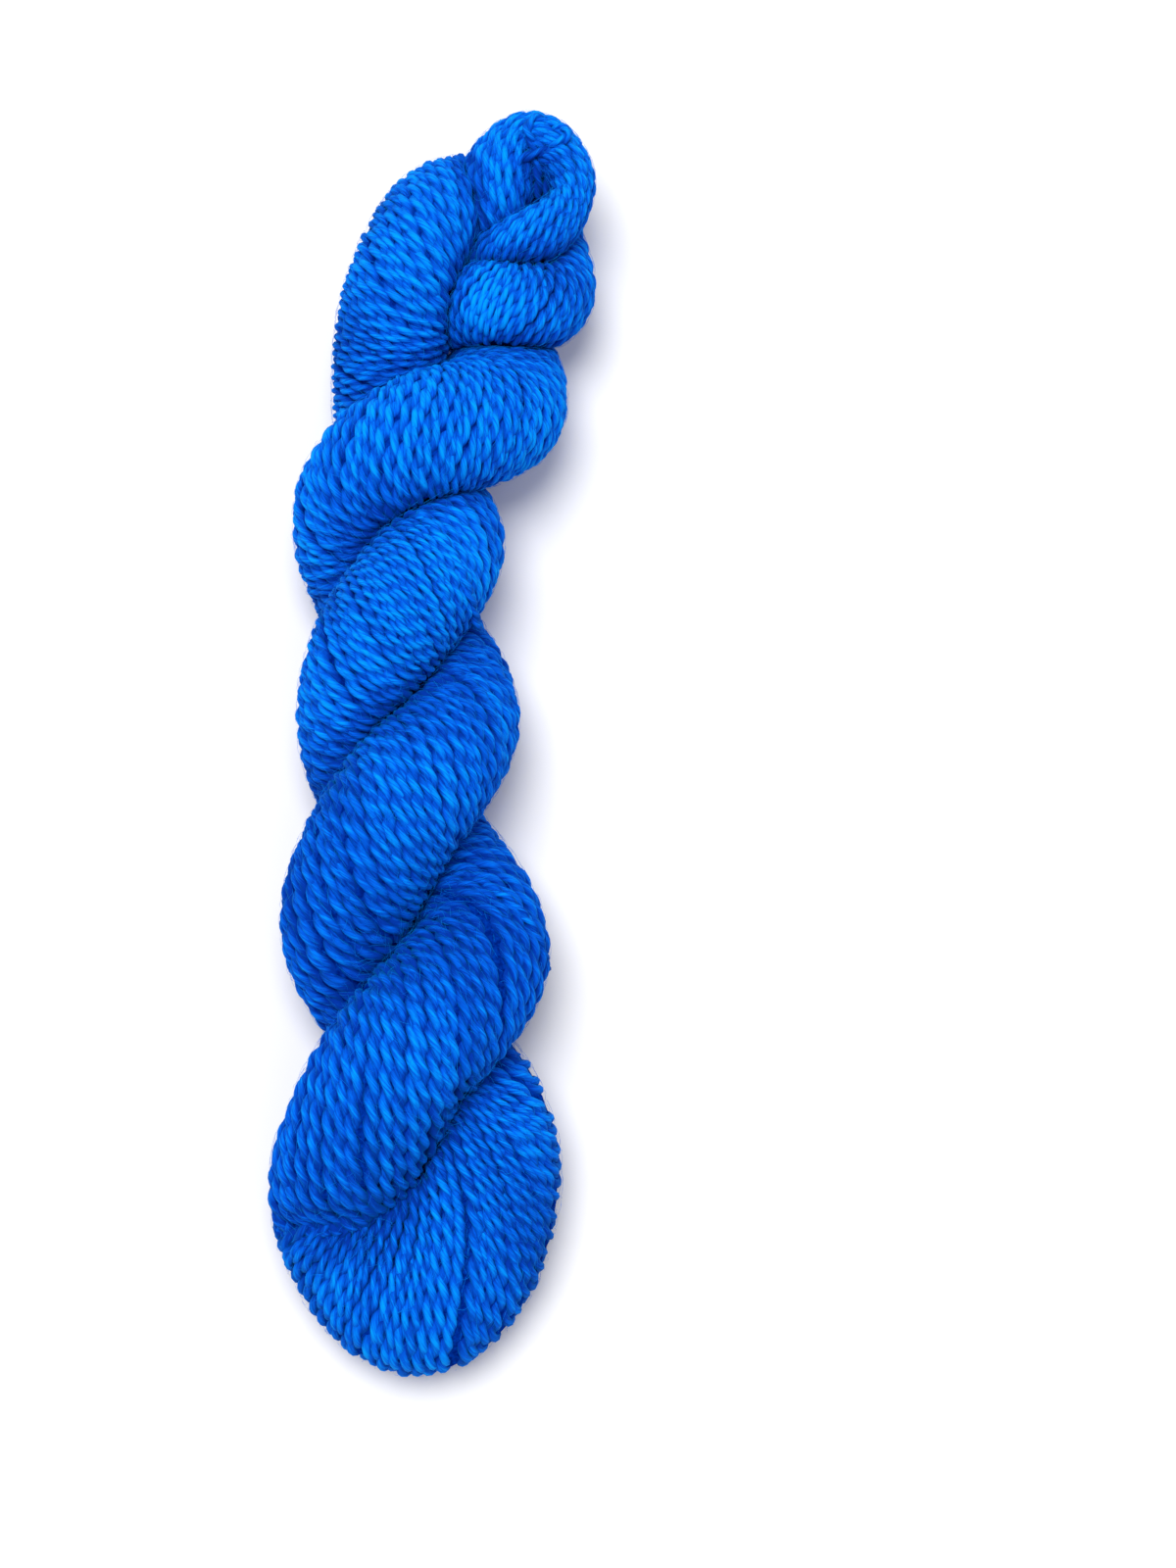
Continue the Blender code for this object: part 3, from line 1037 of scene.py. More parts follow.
loose_yarns = slipped_yarns()
print("longest slipped yarn, mm:", (loose_yarns.length.max() * 1000).round(1))

# %% [markdown]
# Only what shows is made. A yarn is cut where the strand's other lengths bury it, and the pieces that are
# left, the runs, are measured off in even steps later, so that the rings of every run can be worked out at
# once. Keeping whole yarns would be simpler, but half of their triangles would lie where nobody sees them.

# %% Runs of yarn that show
SHORTEST_RUN = 0.005


def runs_that_show(yarns):
    """The runs: which yarn, first and last sample, and length. A run starts and ends where shown changes."""
    edges = np.diff(np.pad(yarns.shown, ((0, 0), (1, 1))).astype(int), axis=1)
    run_yarn, run_first = np.nonzero(edges == 1)
    run_last = np.nonzero(edges == -1)[1] - 1
    run_length = yarns.length[run_yarn, run_last] - yarns.length[run_yarn, run_first]
    long_enough = run_length > SHORTEST_RUN
    return [values[long_enough] for values in (run_yarn, run_first, run_last, run_length)]


print("runs of the wound yarns:", len(runs_that_show(wound_yarns)[0]))

# %% [markdown]
# Each ring gets its place, its size, its twist and a tone. The twist of the two plies is carried along from
# one end of a yarn to the other, with a little jitter. The tone varies at random from yarn to yarn and along
# each one. Painted shade darkens it where a yarn has sunk, where it dives into a crease, and down the side.
# The lamps give some of this shade by themselves, and the painted shade deepens it, because light gets lost
# among wool's fibres.

# %% The rings of the runs
RING_STEP = 0.0011          # distance between rings
FAR_APART = 10.0            # every yarn has its own stretch of one long ruler: one call reads them all
TWIST_LENGTH = 3.8          # of one turn of the plies, in the yarn's size
TWIST_JITTER = 0.03
JITTER_LENGTH = 0.05
PHASE_STEP = math.pi / 2    # the next yarn's twist starts a quarter turn later, so that the two nest
PHASE_JITTER = 0.5
TONE_JITTER = 0.05          # from yarn to yarn, and along each one
SHADE_LENGTH = 0.030        # over which it changes along a yarn
SUNK_PAINTED_SHADE = 0.8             # painted shade: how much darker a yarn is where it has sunk
CREASE_PAINTED_SHADE = 0.50          # painted shade where it dives into a crease
SIDE_PAINTED_SHADE = 0.14            # and painted shade where it turns down the side
OPEN_SKY = 1.50             # nearness from which it is as light as elsewhere
SIDE_TILT = (-0.1, 0.7)     # upward share of the outward direction, from the side to the top

Rings = namedtuple("Rings", "middle outward size place run_place twist tone length yarn first last")


def cut_in_rings(yarns):
    """The rings of all runs of yarn that show, in one long row, evenly spaced along each run.

    The twist is the running sum of a full turn over the twist's length, which follows the yarn's size.
    """
    rows, samples = yarns.shown.shape
    run_yarn, run_first, run_last, run_length = runs_that_show(yarns)
    ring_counts = np.ceil(run_length / RING_STEP).astype(int) + 1
    run = np.repeat(np.arange(len(run_yarn)), ring_counts)
    number = np.arange(len(run)) - np.repeat(np.cumsum(ring_counts) - ring_counts, ring_counts)
    share_of_run = number / (ring_counts[run] - 1)
    yarn = run_yarn[run]
    length = yarns.length[run_yarn, run_first][run] + share_of_run * run_length[run]
    ruler = (yarns.length + FAR_APART * np.arange(rows)[:, None]).ravel()

    def read(values):
        """Values given at each yarn's samples, read at the rings by their length along the yarn."""
        flat = values.reshape(len(ruler), -1)
        columns = [np.interp(length + FAR_APART * yarn, ruler, column) for column in flat.T]
        return np.stack(columns, axis=1) if values.ndim == 3 else columns[0]

    jitter = TWIST_JITTER * evened(rows, samples, JITTER_LENGTH)
    twist_rate = math.tau / (TWIST_LENGTH * yarns.size) * (1 + jitter)
    turned = np.cumsum(twist_rate * np.gradient(yarns.length, axis=1), axis=1)
    phases = np.cumsum(PHASE_STEP + PHASE_JITTER * random.standard_normal(rows))
    tone = TONE_JITTER * random.standard_normal(rows)[yarn]
    tone = tone + TONE_JITTER * read(evened(rows, samples, SHADE_LENGTH))
    # painted shade: darker in creases and down the side of the strand
    in_crease = 1 - ramp(read(yarns.sky), LEAST_SKY, OPEN_SKY)
    on_side = 1 - ramp(read(yarns.outward[..., 2]), *SIDE_TILT)
    return Rings(
        middle=read(yarns.middle),
        outward=read(yarns.outward),
        size=read(yarns.size),
        place=read(yarns.place),
        run_place=((yarns.place[run_yarn, run_first] + yarns.place[run_yarn, run_last]) / 2)[run],
        twist=read(phases[:, None] - turned),
        tone=tone - SUNK_PAINTED_SHADE * read(yarns.sunk) - CREASE_PAINTED_SHADE * in_crease - SIDE_PAINTED_SHADE * on_side,
        length=length,
        yarn=yarn,
        first=number == 0,
        last=number == ring_counts[run] - 1,
    )


print("the plies of a slipped yarn turn once in, mm:", round(TWIST_LENGTH * SLIPPED_SIZE * 1000, 1))

# %% [markdown]
# The wound yarns, the fan and the slipped yarns are cut one after the other and joined in one long row, so
# that each later step is worked out once for all of them. Every ring gets three directions that are square to
# each other: along the yarn, outward from the hank, and beside.

# %% All rings in one row
cut_yarns = [cut_in_rings(yarns) for yarns in (wound_yarns, fan_yarns, loose_yarns)]
rings = Rings(*(np.concatenate(values) for values in zip(*cut_yarns)))
ahead = np.where(rings.last[:, None], rings.middle, np.roll(rings.middle, -1, axis=0))
behind = np.where(rings.first[:, None], rings.middle, np.roll(rings.middle, 1, axis=0))
ring_way = unit(ahead - behind)
ring_outward = unit(rings.outward - dot(rings.outward, ring_way)[:, None] * ring_way)
ring_beside = np.cross(ring_way, ring_outward)
print(rings.first.sum(), "runs,", len(rings.first), "rings")

# %% [markdown]
# ## Two plies make the yarn
#
# The yarn is two plies twisted round each other, to the left, like the slant in the letter S. Seen from the
# side each ply comes to the front, crosses over and goes behind, which gives the slanted lozenges that tell
# yarn from rope or tube. A bump in the material could fake them, but not at the outline. So a ply is a tube
# whose middle runs round the yarn's middle; its rings turn with it, and the fibres drawn on it turn too.

# %% Shape of the plies
SIDES = 7                   # of a ply
side_angles = math.pi + np.arange(SIDES) * math.tau / SIDES     # the first side faces the other ply


def round_about(angle, outward_reach, beside_reach):
    """A step square to the yarn at each ring, in its size: the angle's cosine outward, its sine aside."""
    out = ring_outward * (outward_reach * rings.size * np.cos(angle))[:, None]
    return out + ring_beside * (beside_reach * rings.size * np.sin(angle))[:, None]


def ply_rings(ply):
    """Ring points of one ply (rings by sides by xyz) and their middles.

    The middle goes round an oval about the yarn's middle, and the points round a circle about it.
    """
    angle = rings.twist + ply * math.pi
    middle = rings.middle + round_about(angle, PLY_OUT, PLY_ASIDE)
    sides = [middle + round_about(angle + side, PLY_RADIUS, PLY_RADIUS) for side in side_angles]
    return np.stack(sides, axis=1), middle


print("a yarn has", 2 * SIDES, "sides a ring")

# %% [markdown]
# A mesh is put together from whole arrays: a quad for each side between two rings of the same run, and a fan
# of triangles to a middle point at both ends of a run, so that every tube is closed. Blender reads such
# arrays in one call each, which takes a moment where a loop over points would take minutes.

# %% Tubes to meshes
def tube_faces(ring_count, sides, joined, first, last):
    """Quads and end fans of many tubes whose rings follow each other in one long row.

    A quad joins two sides of a ring to the same sides of the next. joined: rings that the next ring belongs
    to; first, last: end rings of the tubes. The middle points of the ends come after all the rings' points,
    first ends before last ends.
    """
    side = np.arange(sides)
    beside = (side + 1) % sides
    lower = (joined * sides)[:, None]
    quads = np.stack([lower + side, lower + beside, lower + sides + beside, lower + sides + side], axis=-1)
    poles = ring_count * sides + np.arange(len(first) + len(last))[:, None] + 0 * side
    start = (first * sides)[:, None]
    end = (last * sides)[:, None]
    start_fans = np.stack([start + beside, start + side, poles[: len(first)]], axis=-1)
    end_fans = np.stack([end + side, end + beside, poles[len(first):]], axis=-1)
    fans = np.concatenate([start_fans.reshape(-1, 3), end_fans.reshape(-1, 3)])
    return quads.reshape(-1, 4), fans


def mesh_object(name, points, quads, fans, material, attributes=None, face_uv=None):
    """An object with the given points, quads and triangles; attributes are numbers for each point."""
    mesh = bpy.data.meshes.new(name)
    corners = np.concatenate([quads.ravel(), fans.ravel()]).astype(np.int32)
    starts = np.concatenate([
        np.arange(len(quads)) * 4,
        4 * len(quads) + np.arange(len(fans)) * 3,
    ]).astype(np.int32)
    mesh.vertices.add(len(points))
    mesh.vertices.foreach_set("co", points.ravel().astype(np.float32))
    mesh.loops.add(len(corners))
    mesh.loops.foreach_set("vertex_index", corners)
    mesh.polygons.add(len(starts))
    mesh.polygons.foreach_set("loop_start", starts)
    mesh.polygons.foreach_set("use_smooth", np.ones(len(starts), bool))
    mesh.update(calc_edges=True)
    if face_uv is not None:
        layer = mesh.uv_layers.new(name="along_yarn")
        layer.uv.foreach_set("vector", face_uv.ravel().astype(np.float32))
    for title, values in (attributes or {}).items():
        mesh.attributes.new(title, "FLOAT", "POINT").data.foreach_set("value", values.astype(np.float32))
    mesh.validate()
    made = bpy.data.objects.new(name, mesh)
    bpy.context.scene.collection.objects.link(made)
    made.data.materials.append(material)
    return made


test_quads, test_fans = tube_faces(3, SIDES, np.arange(2), np.array([0]), np.array([2]))
print("a tube of three rings has", len(test_quads), "quads and", len(test_fans), "triangles")

# %% [markdown]
# ## A small way to write shaders
#
# A finish is a tree of nodes. Wired by hand in the editor, or node by node in a script, it takes pages. So
# one small class wraps a node's output and lets it be used in sums: adding two of them makes a Math node
# that adds.

# %% Shader sums as plain sums
class Value:
    """A node's output that can be used in sums; each operator makes one Math node."""

    def __init__(self, tree, socket):
        """Remembers the node tree and the output socket."""
        self.tree = tree
        self.socket = socket

    def math(self, operation, *others):
        """A Math node with this value first and the others after it."""
        node = self.tree.nodes.new("ShaderNodeMath")
        node.operation = operation
        for position, value in enumerate((self, *others)):
            feed(self.tree, node.inputs[position], value)
        return Value(self.tree, node.outputs[0])

    def __add__(self, other):
        return self.math("ADD", other)

    def __sub__(self, other):
        return self.math("SUBTRACT", other)

    def __mul__(self, other):
        return self.math("MULTIPLY", other)

    def __rsub__(self, other):
        return self * -1.0 + other

    __radd__ = __add__
    __rmul__ = __mul__

    def clipped(self):
        """The value kept between 0 and 1."""
        return self.math("MAXIMUM", 0.0).math("MINIMUM", 1.0)


def feed(tree, socket, value):
    """A socket gets a number, a colour, or another node's output."""
    if isinstance(value, Value):
        tree.links.new(value.socket, socket)
    else:
        socket.default_value = value


print("sums of nodes:", ", ".join(name for name in ("__add__", "__sub__", "__mul__") if hasattr(Value, name)))

# %% [markdown]
# A finish is a material with Blender's Principled shader, which has a socket for each thing that light does
# on a surface. One method fills the sockets by name, and one makes any other node from its type, its
# settings and what goes into it, so that a whole finish reads like a recipe.

# %% A finish
class Finish:
    """A material whose Principled shader is filled in by name."""

    def __init__(self, name, **constants):
        """A new material, with some sockets of its shader set."""
        self.material = bpy.data.materials.new(name)
        self.material.use_nodes = True
        self.tree = self.material.node_tree
        self.shader = self.tree.nodes["Principled BSDF"]
        self.set(**constants)

    def set(self, **inputs):
        """Sets or links sockets of the shader; a _ in a name stands for a space."""
        for title, value in inputs.items():
            feed(self.tree, self.shader.inputs[title.replace("_", " ")], value)

    def node(self, kind, output=0, settings=None, sockets=None, **inputs):
        """Any node: its type, the output wanted, its settings, and its inputs by position or by name."""
        made = self.tree.nodes.new("ShaderNode" + kind)
        for title, value in (settings or {}).items():
            setattr(made, title, value)
        for position, value in (sockets or {}).items():
            feed(self.tree, made.inputs[position], value)
        for title, value in inputs.items():
            feed(self.tree, made.inputs[title.replace("_", " ")], value)
        return Value(self.tree, made.outputs[output])

    def number(self, title):
        """A number stored with the mesh's points."""
        return self.node("Attribute", output=2, settings={"attribute_name": title})

    def mix(self, factor, first, second):
        """A blend of two colours. The Mix node's colours are its inputs 6 and 7, and its output 2."""
        colours = {0: factor, 6: first, 7: second}
        return self.node("Mix", output=2, settings={"data_type": "RGBA"}, sockets=colours)


print("a finish can:", ", ".join(name for name in vars(Finish) if not name.startswith("_")))

# %% [markdown]
# Dyed wool is deep blue where little light gets in and azure where loose fibres stand in the light. The
# plies'
# colour paints this: painted shade, deep blue, where a point lies low between the plies, and painted
# highlight, azure, where it stands out. A single colour would leave that to the lamps and look like plastic.
# The plies
# carry two numbers and a place for it: how far a point stands out of its yarn, the tone of the dye with
# painted shade, and where it lies along and round the ply. The fibres are noise that is stretched along the
# ply, and turns with it.

# %% The dyed wool, with painted shade and highlight
# DEEP is the blue of the painted shade; ROYAL and AZURE are the wool's own, AZURE also its painted highlight
DEEP = (0.0, 0.035, 0.36, 1.0)
ROYAL = (0.0, 0.115, 0.74, 1.0)
AZURE = (0.0, 0.33, 1.0, 1.0)
SHEEN = (0.0, 0.5, 1.0, 1.0)
PAINTED_SHADE_RISE = 0.12            # a point that stands out no more than this is painted deep blue, as shade
PAINTED_HIGHLIGHT_GAIN = 1.45            # how fast the painted highlight lightens the blue above it
FIBRE_GAIN = 1.9            # how much lighter a fibre is than the gap beside it
FIBRE_STRETCH = (260.0, 10.0, 1.0)      # features a metre along the ply, and round it


def wool():
    """Deep blue to azure: painted shade and highlight by how far a point stands out, plus the dye's tone
    with painted shade, plus fibres.
    """
    finish = Finish("dyed_wool_painted_shade", Roughness=0.85)
    finish.set(Specular_IOR_Level=0.05, Sheen_Weight=0.3, Sheen_Roughness=0.5, Sheen_Tint=SHEEN)
    place = finish.node("UVMap", settings={"uv_map": "along_yarn"})
    stretched = finish.node("Mapping", Vector=place, Scale=FIBRE_STRETCH)
    fibres = finish.node("TexNoise", Vector=stretched, Scale=1.0, Detail=3.0, Roughness=0.6)
    rise = finish.number("rise")
    tone = finish.number("tone")
    # painted highlight on the crowns and painted shade between the plies, from rise
    bright = ((rise - PAINTED_SHADE_RISE) * PAINTED_HIGHLIGHT_GAIN + tone + (fibres - 0.5) * FIBRE_GAIN).clipped()
    low = finish.mix((bright * 2.0).clipped(), DEEP, ROYAL)
    finish.set(Base_Color=finish.mix((bright * 2.0 - 1.0).clipped(), low, AZURE))
    finish.set(Normal=finish.node("Bump", Height=fibres, Strength=0.5, Distance=0.0003))
    return finish.material


WOOL = wool()
print(WOOL.name, "has", len(WOOL.node_tree.nodes), "nodes")

# %% [markdown]
# The dye took unevenly, as it does in a pot. Its tone changes along the strand, and here and there a patch
# is darker or lighter: partly the dye's own unevenness and partly painted shade, as in the hollow of the end
# loop. Painting it on by hand would tie it to one mesh; two short tables, one of stations and one of round
# patches on the floor plan, can be changed at any time.

# %% The dye's tone and painted shade
Dye = namedtuple("Dye", "station tone")
Patch = namedtuple("Patch", "x y reach tone")

DYE = [
    Dye(0, 0.20),
    Dye(7, 0.26),
    Dye(10, 0.24),
    Dye(12, 0.08),
    Dye(14, 0.08),
    Dye(17, 0.10),
    Dye(19, 0.08),
    Dye(20, 0.18),
    Dye(21, 0.14),
    Dye(22, 0.03),
    Dye(24, 0.24),
    Dye(28, 0.24),
    Dye(31, 0.22),
    Dye(33, 0.26),
    Dye(37, 0.34),
]
DYE_AND_SHADE_PATCHES = [
    Patch(0.0230, 0.1290, 0.0060, -0.50),       # painted shade in the hollow of the end loop
    Patch(0.0285, 0.1010, 0.0090, -0.34),
    Patch(0.0100, 0.0905, 0.0060, 0.25),
    Patch(-0.0145, 0.1190, 0.0070, -0.34),
    Patch(-0.0225, 0.0880, 0.0090, -0.34),
    Patch(-0.0125, 0.0410, 0.0090, -0.26),
    Patch(0.0145, 0.0420, 0.0060, -0.28),
    Patch(-0.0270, 0.0210, 0.0090, -0.38),
    Patch(0.0180, 0.0120, 0.0070, -0.22),
    Patch(-0.0080, -0.0030, 0.0080, -0.30),
    Patch(0.0065, -0.0220, 0.0080, 0.12),
    Patch(-0.0275, -0.0190, 0.0100, -0.42),
    Patch(-0.0330, -0.0420, 0.0080, -0.28),
    Patch(-0.0085, -0.0590, 0.0080, -0.38),
    Patch(-0.0170, -0.0690, 0.0080, -0.24),
    Patch(0.0220, -0.0550, 0.0080, -0.16),
    Patch(0.0270, -0.1050, 0.0080, -0.24),
    Patch(0.0245, -0.1190, 0.0090, -0.34),
    Patch(0.0140, -0.1370, 0.0080, -0.22),
]
dye_rows = np.array(DYE)
# the rings' tone: the dye's, plus the painted shade of sunk yarns, creases, sides and patches
ring_tone_and_shade = rings.tone + np.interp(rings.place, place_of(dye_rows[:, 0]), dye_rows[:, 1])
for patch in DYE_AND_SHADE_PATCHES:
    away = np.hypot(rings.middle[:, 0] - patch.x, rings.middle[:, 1] - patch.y) / patch.reach
    ring_tone_and_shade += patch.tone * np.exp(-away**2)
print("tone of the dye:", np.percentile(ring_tone_and_shade, [5, 50, 95]).round(2))

# %% [markdown]
# Each part of the strand becomes one piece, so that no mesh grows too heavy. The place along the ply goes
# into a UV map, shifted from yarn to yarn, so that no two of them show the same fibres. Object coordinates
# wouldn't do here: the fibres have to run along the ply whichever way it turns.

# %% The yarn of each part of the strand
YARN_SHIFT, PLY_SHIFT = 0.37, 0.19      # of the fibres from yarn to yarn and from ply to ply

first_station = np.cumsum([len(part) for part in parts_of_strand.values()])[:-1]
part_of_ring = np.searchsorted(place_of(first_station), rings.run_place)
wool_pieces = []


def ply_uv(lengths, joined, ends):
    """The UV map of a ply's faces: length along the ply, and share of the way round it."""
    near = np.broadcast_to(np.arange(SIDES) / SIDES, (len(joined), SIDES))
    far = near + 1 / SIDES
    here = np.broadcast_to(lengths[joined][:, None], near.shape)
    there = np.broadcast_to(lengths[joined + 1][:, None], near.shape)
    corners = ((here, near), (here, far), (there, far), (there, near))
    quad_uv = np.stack([np.stack(corner, axis=-1) for corner in corners], axis=2).reshape(-1, 2)
    end_lengths = np.repeat(lengths[ends], SIDES * 3)
    return quad_uv, np.stack([end_lengths, np.zeros_like(end_lengths)], axis=-1)


def yarn_piece(name, part):
    """All runs that lie on one part of the strand, as two plies each.

    How far a point stands out is its distance from the yarn's middle along the outward direction, in the
    yarn's size.
    """
    chosen = np.nonzero(part_of_ring == part)[0]
    count = len(chosen)
    joined = np.nonzero(~rings.last[chosen])[0]
    first, last = np.nonzero(rings.first[chosen])[0], np.nonzero(rings.last[chosen])[0]
    centre, out, size = rings.middle[chosen, None], rings.outward[chosen, None], rings.size[chosen, None]
    tone = ring_tone_and_shade[chosen]
    points, quads, fans, quad_uvs, fan_uvs, rises, tones = [], [], [], [], [], [], []
    offset = 0
    for ply in range(2):
        sides, middle = ply_rings(ply)
        sides, middle = sides[chosen], middle[chosen]
        ply_quads, ply_fans = tube_faces(count, SIDES, joined, first, last)
        points += [sides.reshape(-1, 3), middle[first], middle[last]]
        quads.append(ply_quads + offset)
        fans.append(ply_fans + offset)
        # rise drives the wool's painted shade and highlight; the tone carries the dye with painted shade
        rises += [(dot(sides - centre, out) / size).ravel(), np.zeros(len(first) + len(last))]
        tones += [np.repeat(tone, SIDES), tone[first], tone[last]]
        lengths = rings.length[chosen] + YARN_SHIFT * rings.yarn[chosen] + PLY_SHIFT * ply
        quad_uv, fan_uv = ply_uv(lengths, joined, np.concatenate([first, last]))
        quad_uvs.append(quad_uv)
        fan_uvs.append(fan_uv)
        offset += count * SIDES + len(first) + len(last)
    piece = mesh_object(
        name,
        np.concatenate(points),
        np.concatenate(quads),
        np.concatenate(fans),
        WOOL,
        {"rise": np.concatenate(rises), "tone": np.concatenate(tones)},
        np.concatenate(quad_uvs + fan_uvs),
    )
    wool_pieces.append(piece)
    print(name, 2 * sum(map(len, quads)) + sum(map(len, fans)), "triangles")


for part, name in enumerate(parts_of_strand):
    yarn_piece(name + "_yarns", part)

# %% [markdown]
# Under the yarns that show lie many more. Modelling them would double the mesh for nothing, so one core
# stands for them, coloured dark as painted shade of the yarns beneath: the skin drawn in, just deep enough
# not to show through except in the creases. Where two lengths of the strand touch it isn't drawn in, and
# closes the gap between them.

# %% The core under the yarns
CORE_DEPTH = 0.0017
SIDE_DEPTH = 0.0006         # less on the sides, where notches would show against the floor
EXTRA_DEPTH = 0.0014        # more at the fold's crease, where the yarns dive
EXTRA_REACH = (0.002, 0.006)        # distances from the crease between which the extra depth fades
SIDE_SLOPE = (0.1, 0.5)     # upward share of the outward direction, from the sides to the rest
TOUCH = (CREASE - 0.12, CREASE + 0.08)      # nearness from where lengths touch to where the core is full deep
CORE_ROWS = 2               # every second row of the skin is enough

near_crease = 1 - ramp(np.abs(beyond_crease(skin)), *EXTRA_REACH)
near_crease *= stretch(18.8, 19.1, 20.9, 21.2)
steep_side = 1 - ramp(np.abs(outward[..., 2]), *SIDE_SLOPE)
core_depth = CORE_DEPTH - SIDE_DEPTH * steep_side + EXTRA_DEPTH * near_crease
core_depth = core_depth * ramp(free, *TOUCH)
core_skin = skin - outward * core_depth[..., None]
print("deepest core, mm:", round(float(core_depth.max()) * 1000, 2))


def grid_tube(name, rings, material):
    """A closed tube from a grid of ring points: quads between the rings, a fan at each end."""
    count, sides = rings.shape[:2]
    quads, fans = tube_faces(count, sides, np.arange(count - 1), np.array([0]), np.array([count - 1]))
    ends = rings[[0, -1]].mean(axis=1)
    return mesh_object(name, np.concatenate([rings.reshape(-1, 3), ends]), quads, fans, material)


# %% [markdown]
# The core's finish is plain felt in two dark blues, which are painted shade of the wool beneath, with a bump,
# so that where it shows it looks like more wool in shade and not like a smooth gap.

# %% The felt of the core
# both blues are painted shade of the wool under the yarns that show
SHADED_FELT_DARK = (0.0, 0.015, 0.20, 1.0)
SHADED_FELT_LIGHT = (0.0, 0.045, 0.42, 1.0)
FELT_GAIN = 4.0             # how sharply the two blues part
FELT_MIDDLE = 0.4           # the noise below which the felt is dark

core_wool = Finish("inner_wool_painted_shade", Roughness=1.0, Specular_IOR_Level=0.0)
felt_place = core_wool.node("TexCoord", output=3)
felt = core_wool.node("TexNoise", Vector=felt_place, Scale=900.0, Detail=3.0, Roughness=0.6)
core_wool.set(Base_Color=core_wool.mix(((felt - FELT_MIDDLE) * FELT_GAIN).clipped(), SHADED_FELT_DARK, SHADED_FELT_LIGHT))
core_wool.set(Normal=core_wool.node("Bump", Height=felt, Strength=1.0, Distance=0.0006))
wool_pieces.append(grid_tube("inner_yarns", core_skin[::CORE_ROWS], core_wool.material))
print("inner_yarns", len(wool_pieces[-1].data.vertices), "points")

# %% [markdown]
# ## The halo
#
# Wool is never clean-cut. Fine fibres stand off every ply, lie across their neighbours and bridge the
# creases, and they soften the whole hank. Blender's hair could grow them, but only meshes stay with the
# part, so each fibre is a very thin tube of three sides. It starts somewhere on the skin that shows, and
# heads roughly along the yarn there; the grid of headings is the lay of the yarns, and the fan's at the fold.

# %% Where fibres start
FIBRES = 12000
FIBRES_IN_CREASES = 0.3     # share that starts close to a crease
BARE_SKIN = 0.95            # nearness from which the others may start
BY_CREASES = (0.80, 1.05)   # nearness between which those in creases start

lay_on_grid = lay_angle[:, None, None]
yarn_flow = unit(down_strand) * np.cos(lay_on_grid) - unit(round_strand) * np.sin(lay_on_grid)
fan_share = stretch(16, 17, 19, 20)
yarn_flow = unit(yarn_flow * (1 - fan_share[..., None]) + flow * fan_share[..., None])


def fibre_starts():
    """Places and angles where fibres start: some all over the skin that shows, some next to creases."""
    open_rows, open_spokes = np.nonzero(free > BARE_SKIN)
    crease_rows, crease_spokes = np.nonzero((free > BY_CREASES[0]) & (free < BY_CREASES[1]))
    in_creases = int(FIBRES * FIBRES_IN_CREASES)
    picked = random.integers(0, len(open_rows), FIBRES - in_creases)
    creased = random.integers(0, len(crease_rows), in_creases)
    rows = np.concatenate([open_rows[picked], crease_rows[creased]])
    spokes_round = np.concatenate([open_spokes[picked], crease_spokes[creased]])
    return rows + random.random(FIBRES), (spokes_round + random.random(FIBRES)) * math.tau / SPOKES


print(FIBRES, "fibres,", int(FIBRES * FIBRES_IN_CREASES), "of them close to a crease")

# %% [markdown]
# From its start a fibre walks a few steps while it turns a little. Some fibres follow the skin closely, and
# others are stiff and fly straight on. Walking them one by one would be slow, so all of them take each step
# together, and their places on the grid are read again after it.

# %% Paths of the fibres
FIBRE_STEPS = 4
SHORT_FIBRE, LONG_FIBRE = 0.0025, 0.0070
FIBRE_SPREAD = 0.35         # of the direction, in radians
FIBRE_TURN = 0.16           # from step to step, in radians
FIBRE_LIFT = 0.00030
FIBRE_ROOT = 0.0001         # how deep its ends lie under the skin
STIFFEST = 0.4              # share of the way that the stiffest fibre flies straight on


def turned_by(way, axis, angle):
    """Directions turned round an axis square to them: cosine times the way, sine times the way beside it."""
    return way * np.cos(angle)[:, None] + np.cross(axis, way) * np.sin(angle)[:, None]


def fibre_paths():
    """Points along each fibre (fibres by steps by xyz).

    A fibre's height over the skin is half a wave from end to end; its stiffness blends the point on the
    skin with the point straight on.
    """
    place, angle = fibre_starts()
    step = (SHORT_FIBRE + (LONG_FIBRE - SHORT_FIBRE) * random.random(FIBRES) ** 2) / FIBRE_STEPS
    stiff = STIFFEST * random.random(FIBRES)[:, None] ** 2
    lift = FIBRE_LIFT * random.random(FIBRES)[:, None]
    way = on_grid(yarn_flow, place, angle) * np.sign(random.random(FIBRES) - 0.5)[:, None]
    top = on_grid(outward, place, angle)
    way = turned_by(way, unit(top), FIBRE_SPREAD * random.standard_normal(FIBRES))
    turning = FIBRE_TURN * random.standard_normal(FIBRES)
    straight = on_grid(skin, place, angle)
    points = []
    for number in range(FIBRE_STEPS + 1):
        top = unit(on_grid(outward, place, angle))
        on_skin = on_grid(skin, place, angle)
        height = lift * math.sin(math.pi * number / FIBRE_STEPS) - FIBRE_ROOT
        points.append(on_skin * (1 - stiff) + straight * stiff + top * height)
        way = turned_by(unit(way - dot(way, top)[:, None] * top), top, turning)
        rate = grid_rate(way, on_grid(down_strand, place, angle), on_grid(round_strand, place, angle))
        place, angle = place + step * rate[:, 0], angle + step * rate[:, 1]
        straight = straight + way * step[:, None]
    return np.stack(points, axis=1)


all_paths = fibre_paths()
print("fibres by points:", all_paths.shape[:2])

# %% [markdown]
# A fibre catches more light than the plies under it, so its blue lies between the two lighter ones of the
# wool, a little different for each. The fibres make two pieces, so that neither grows too heavy.

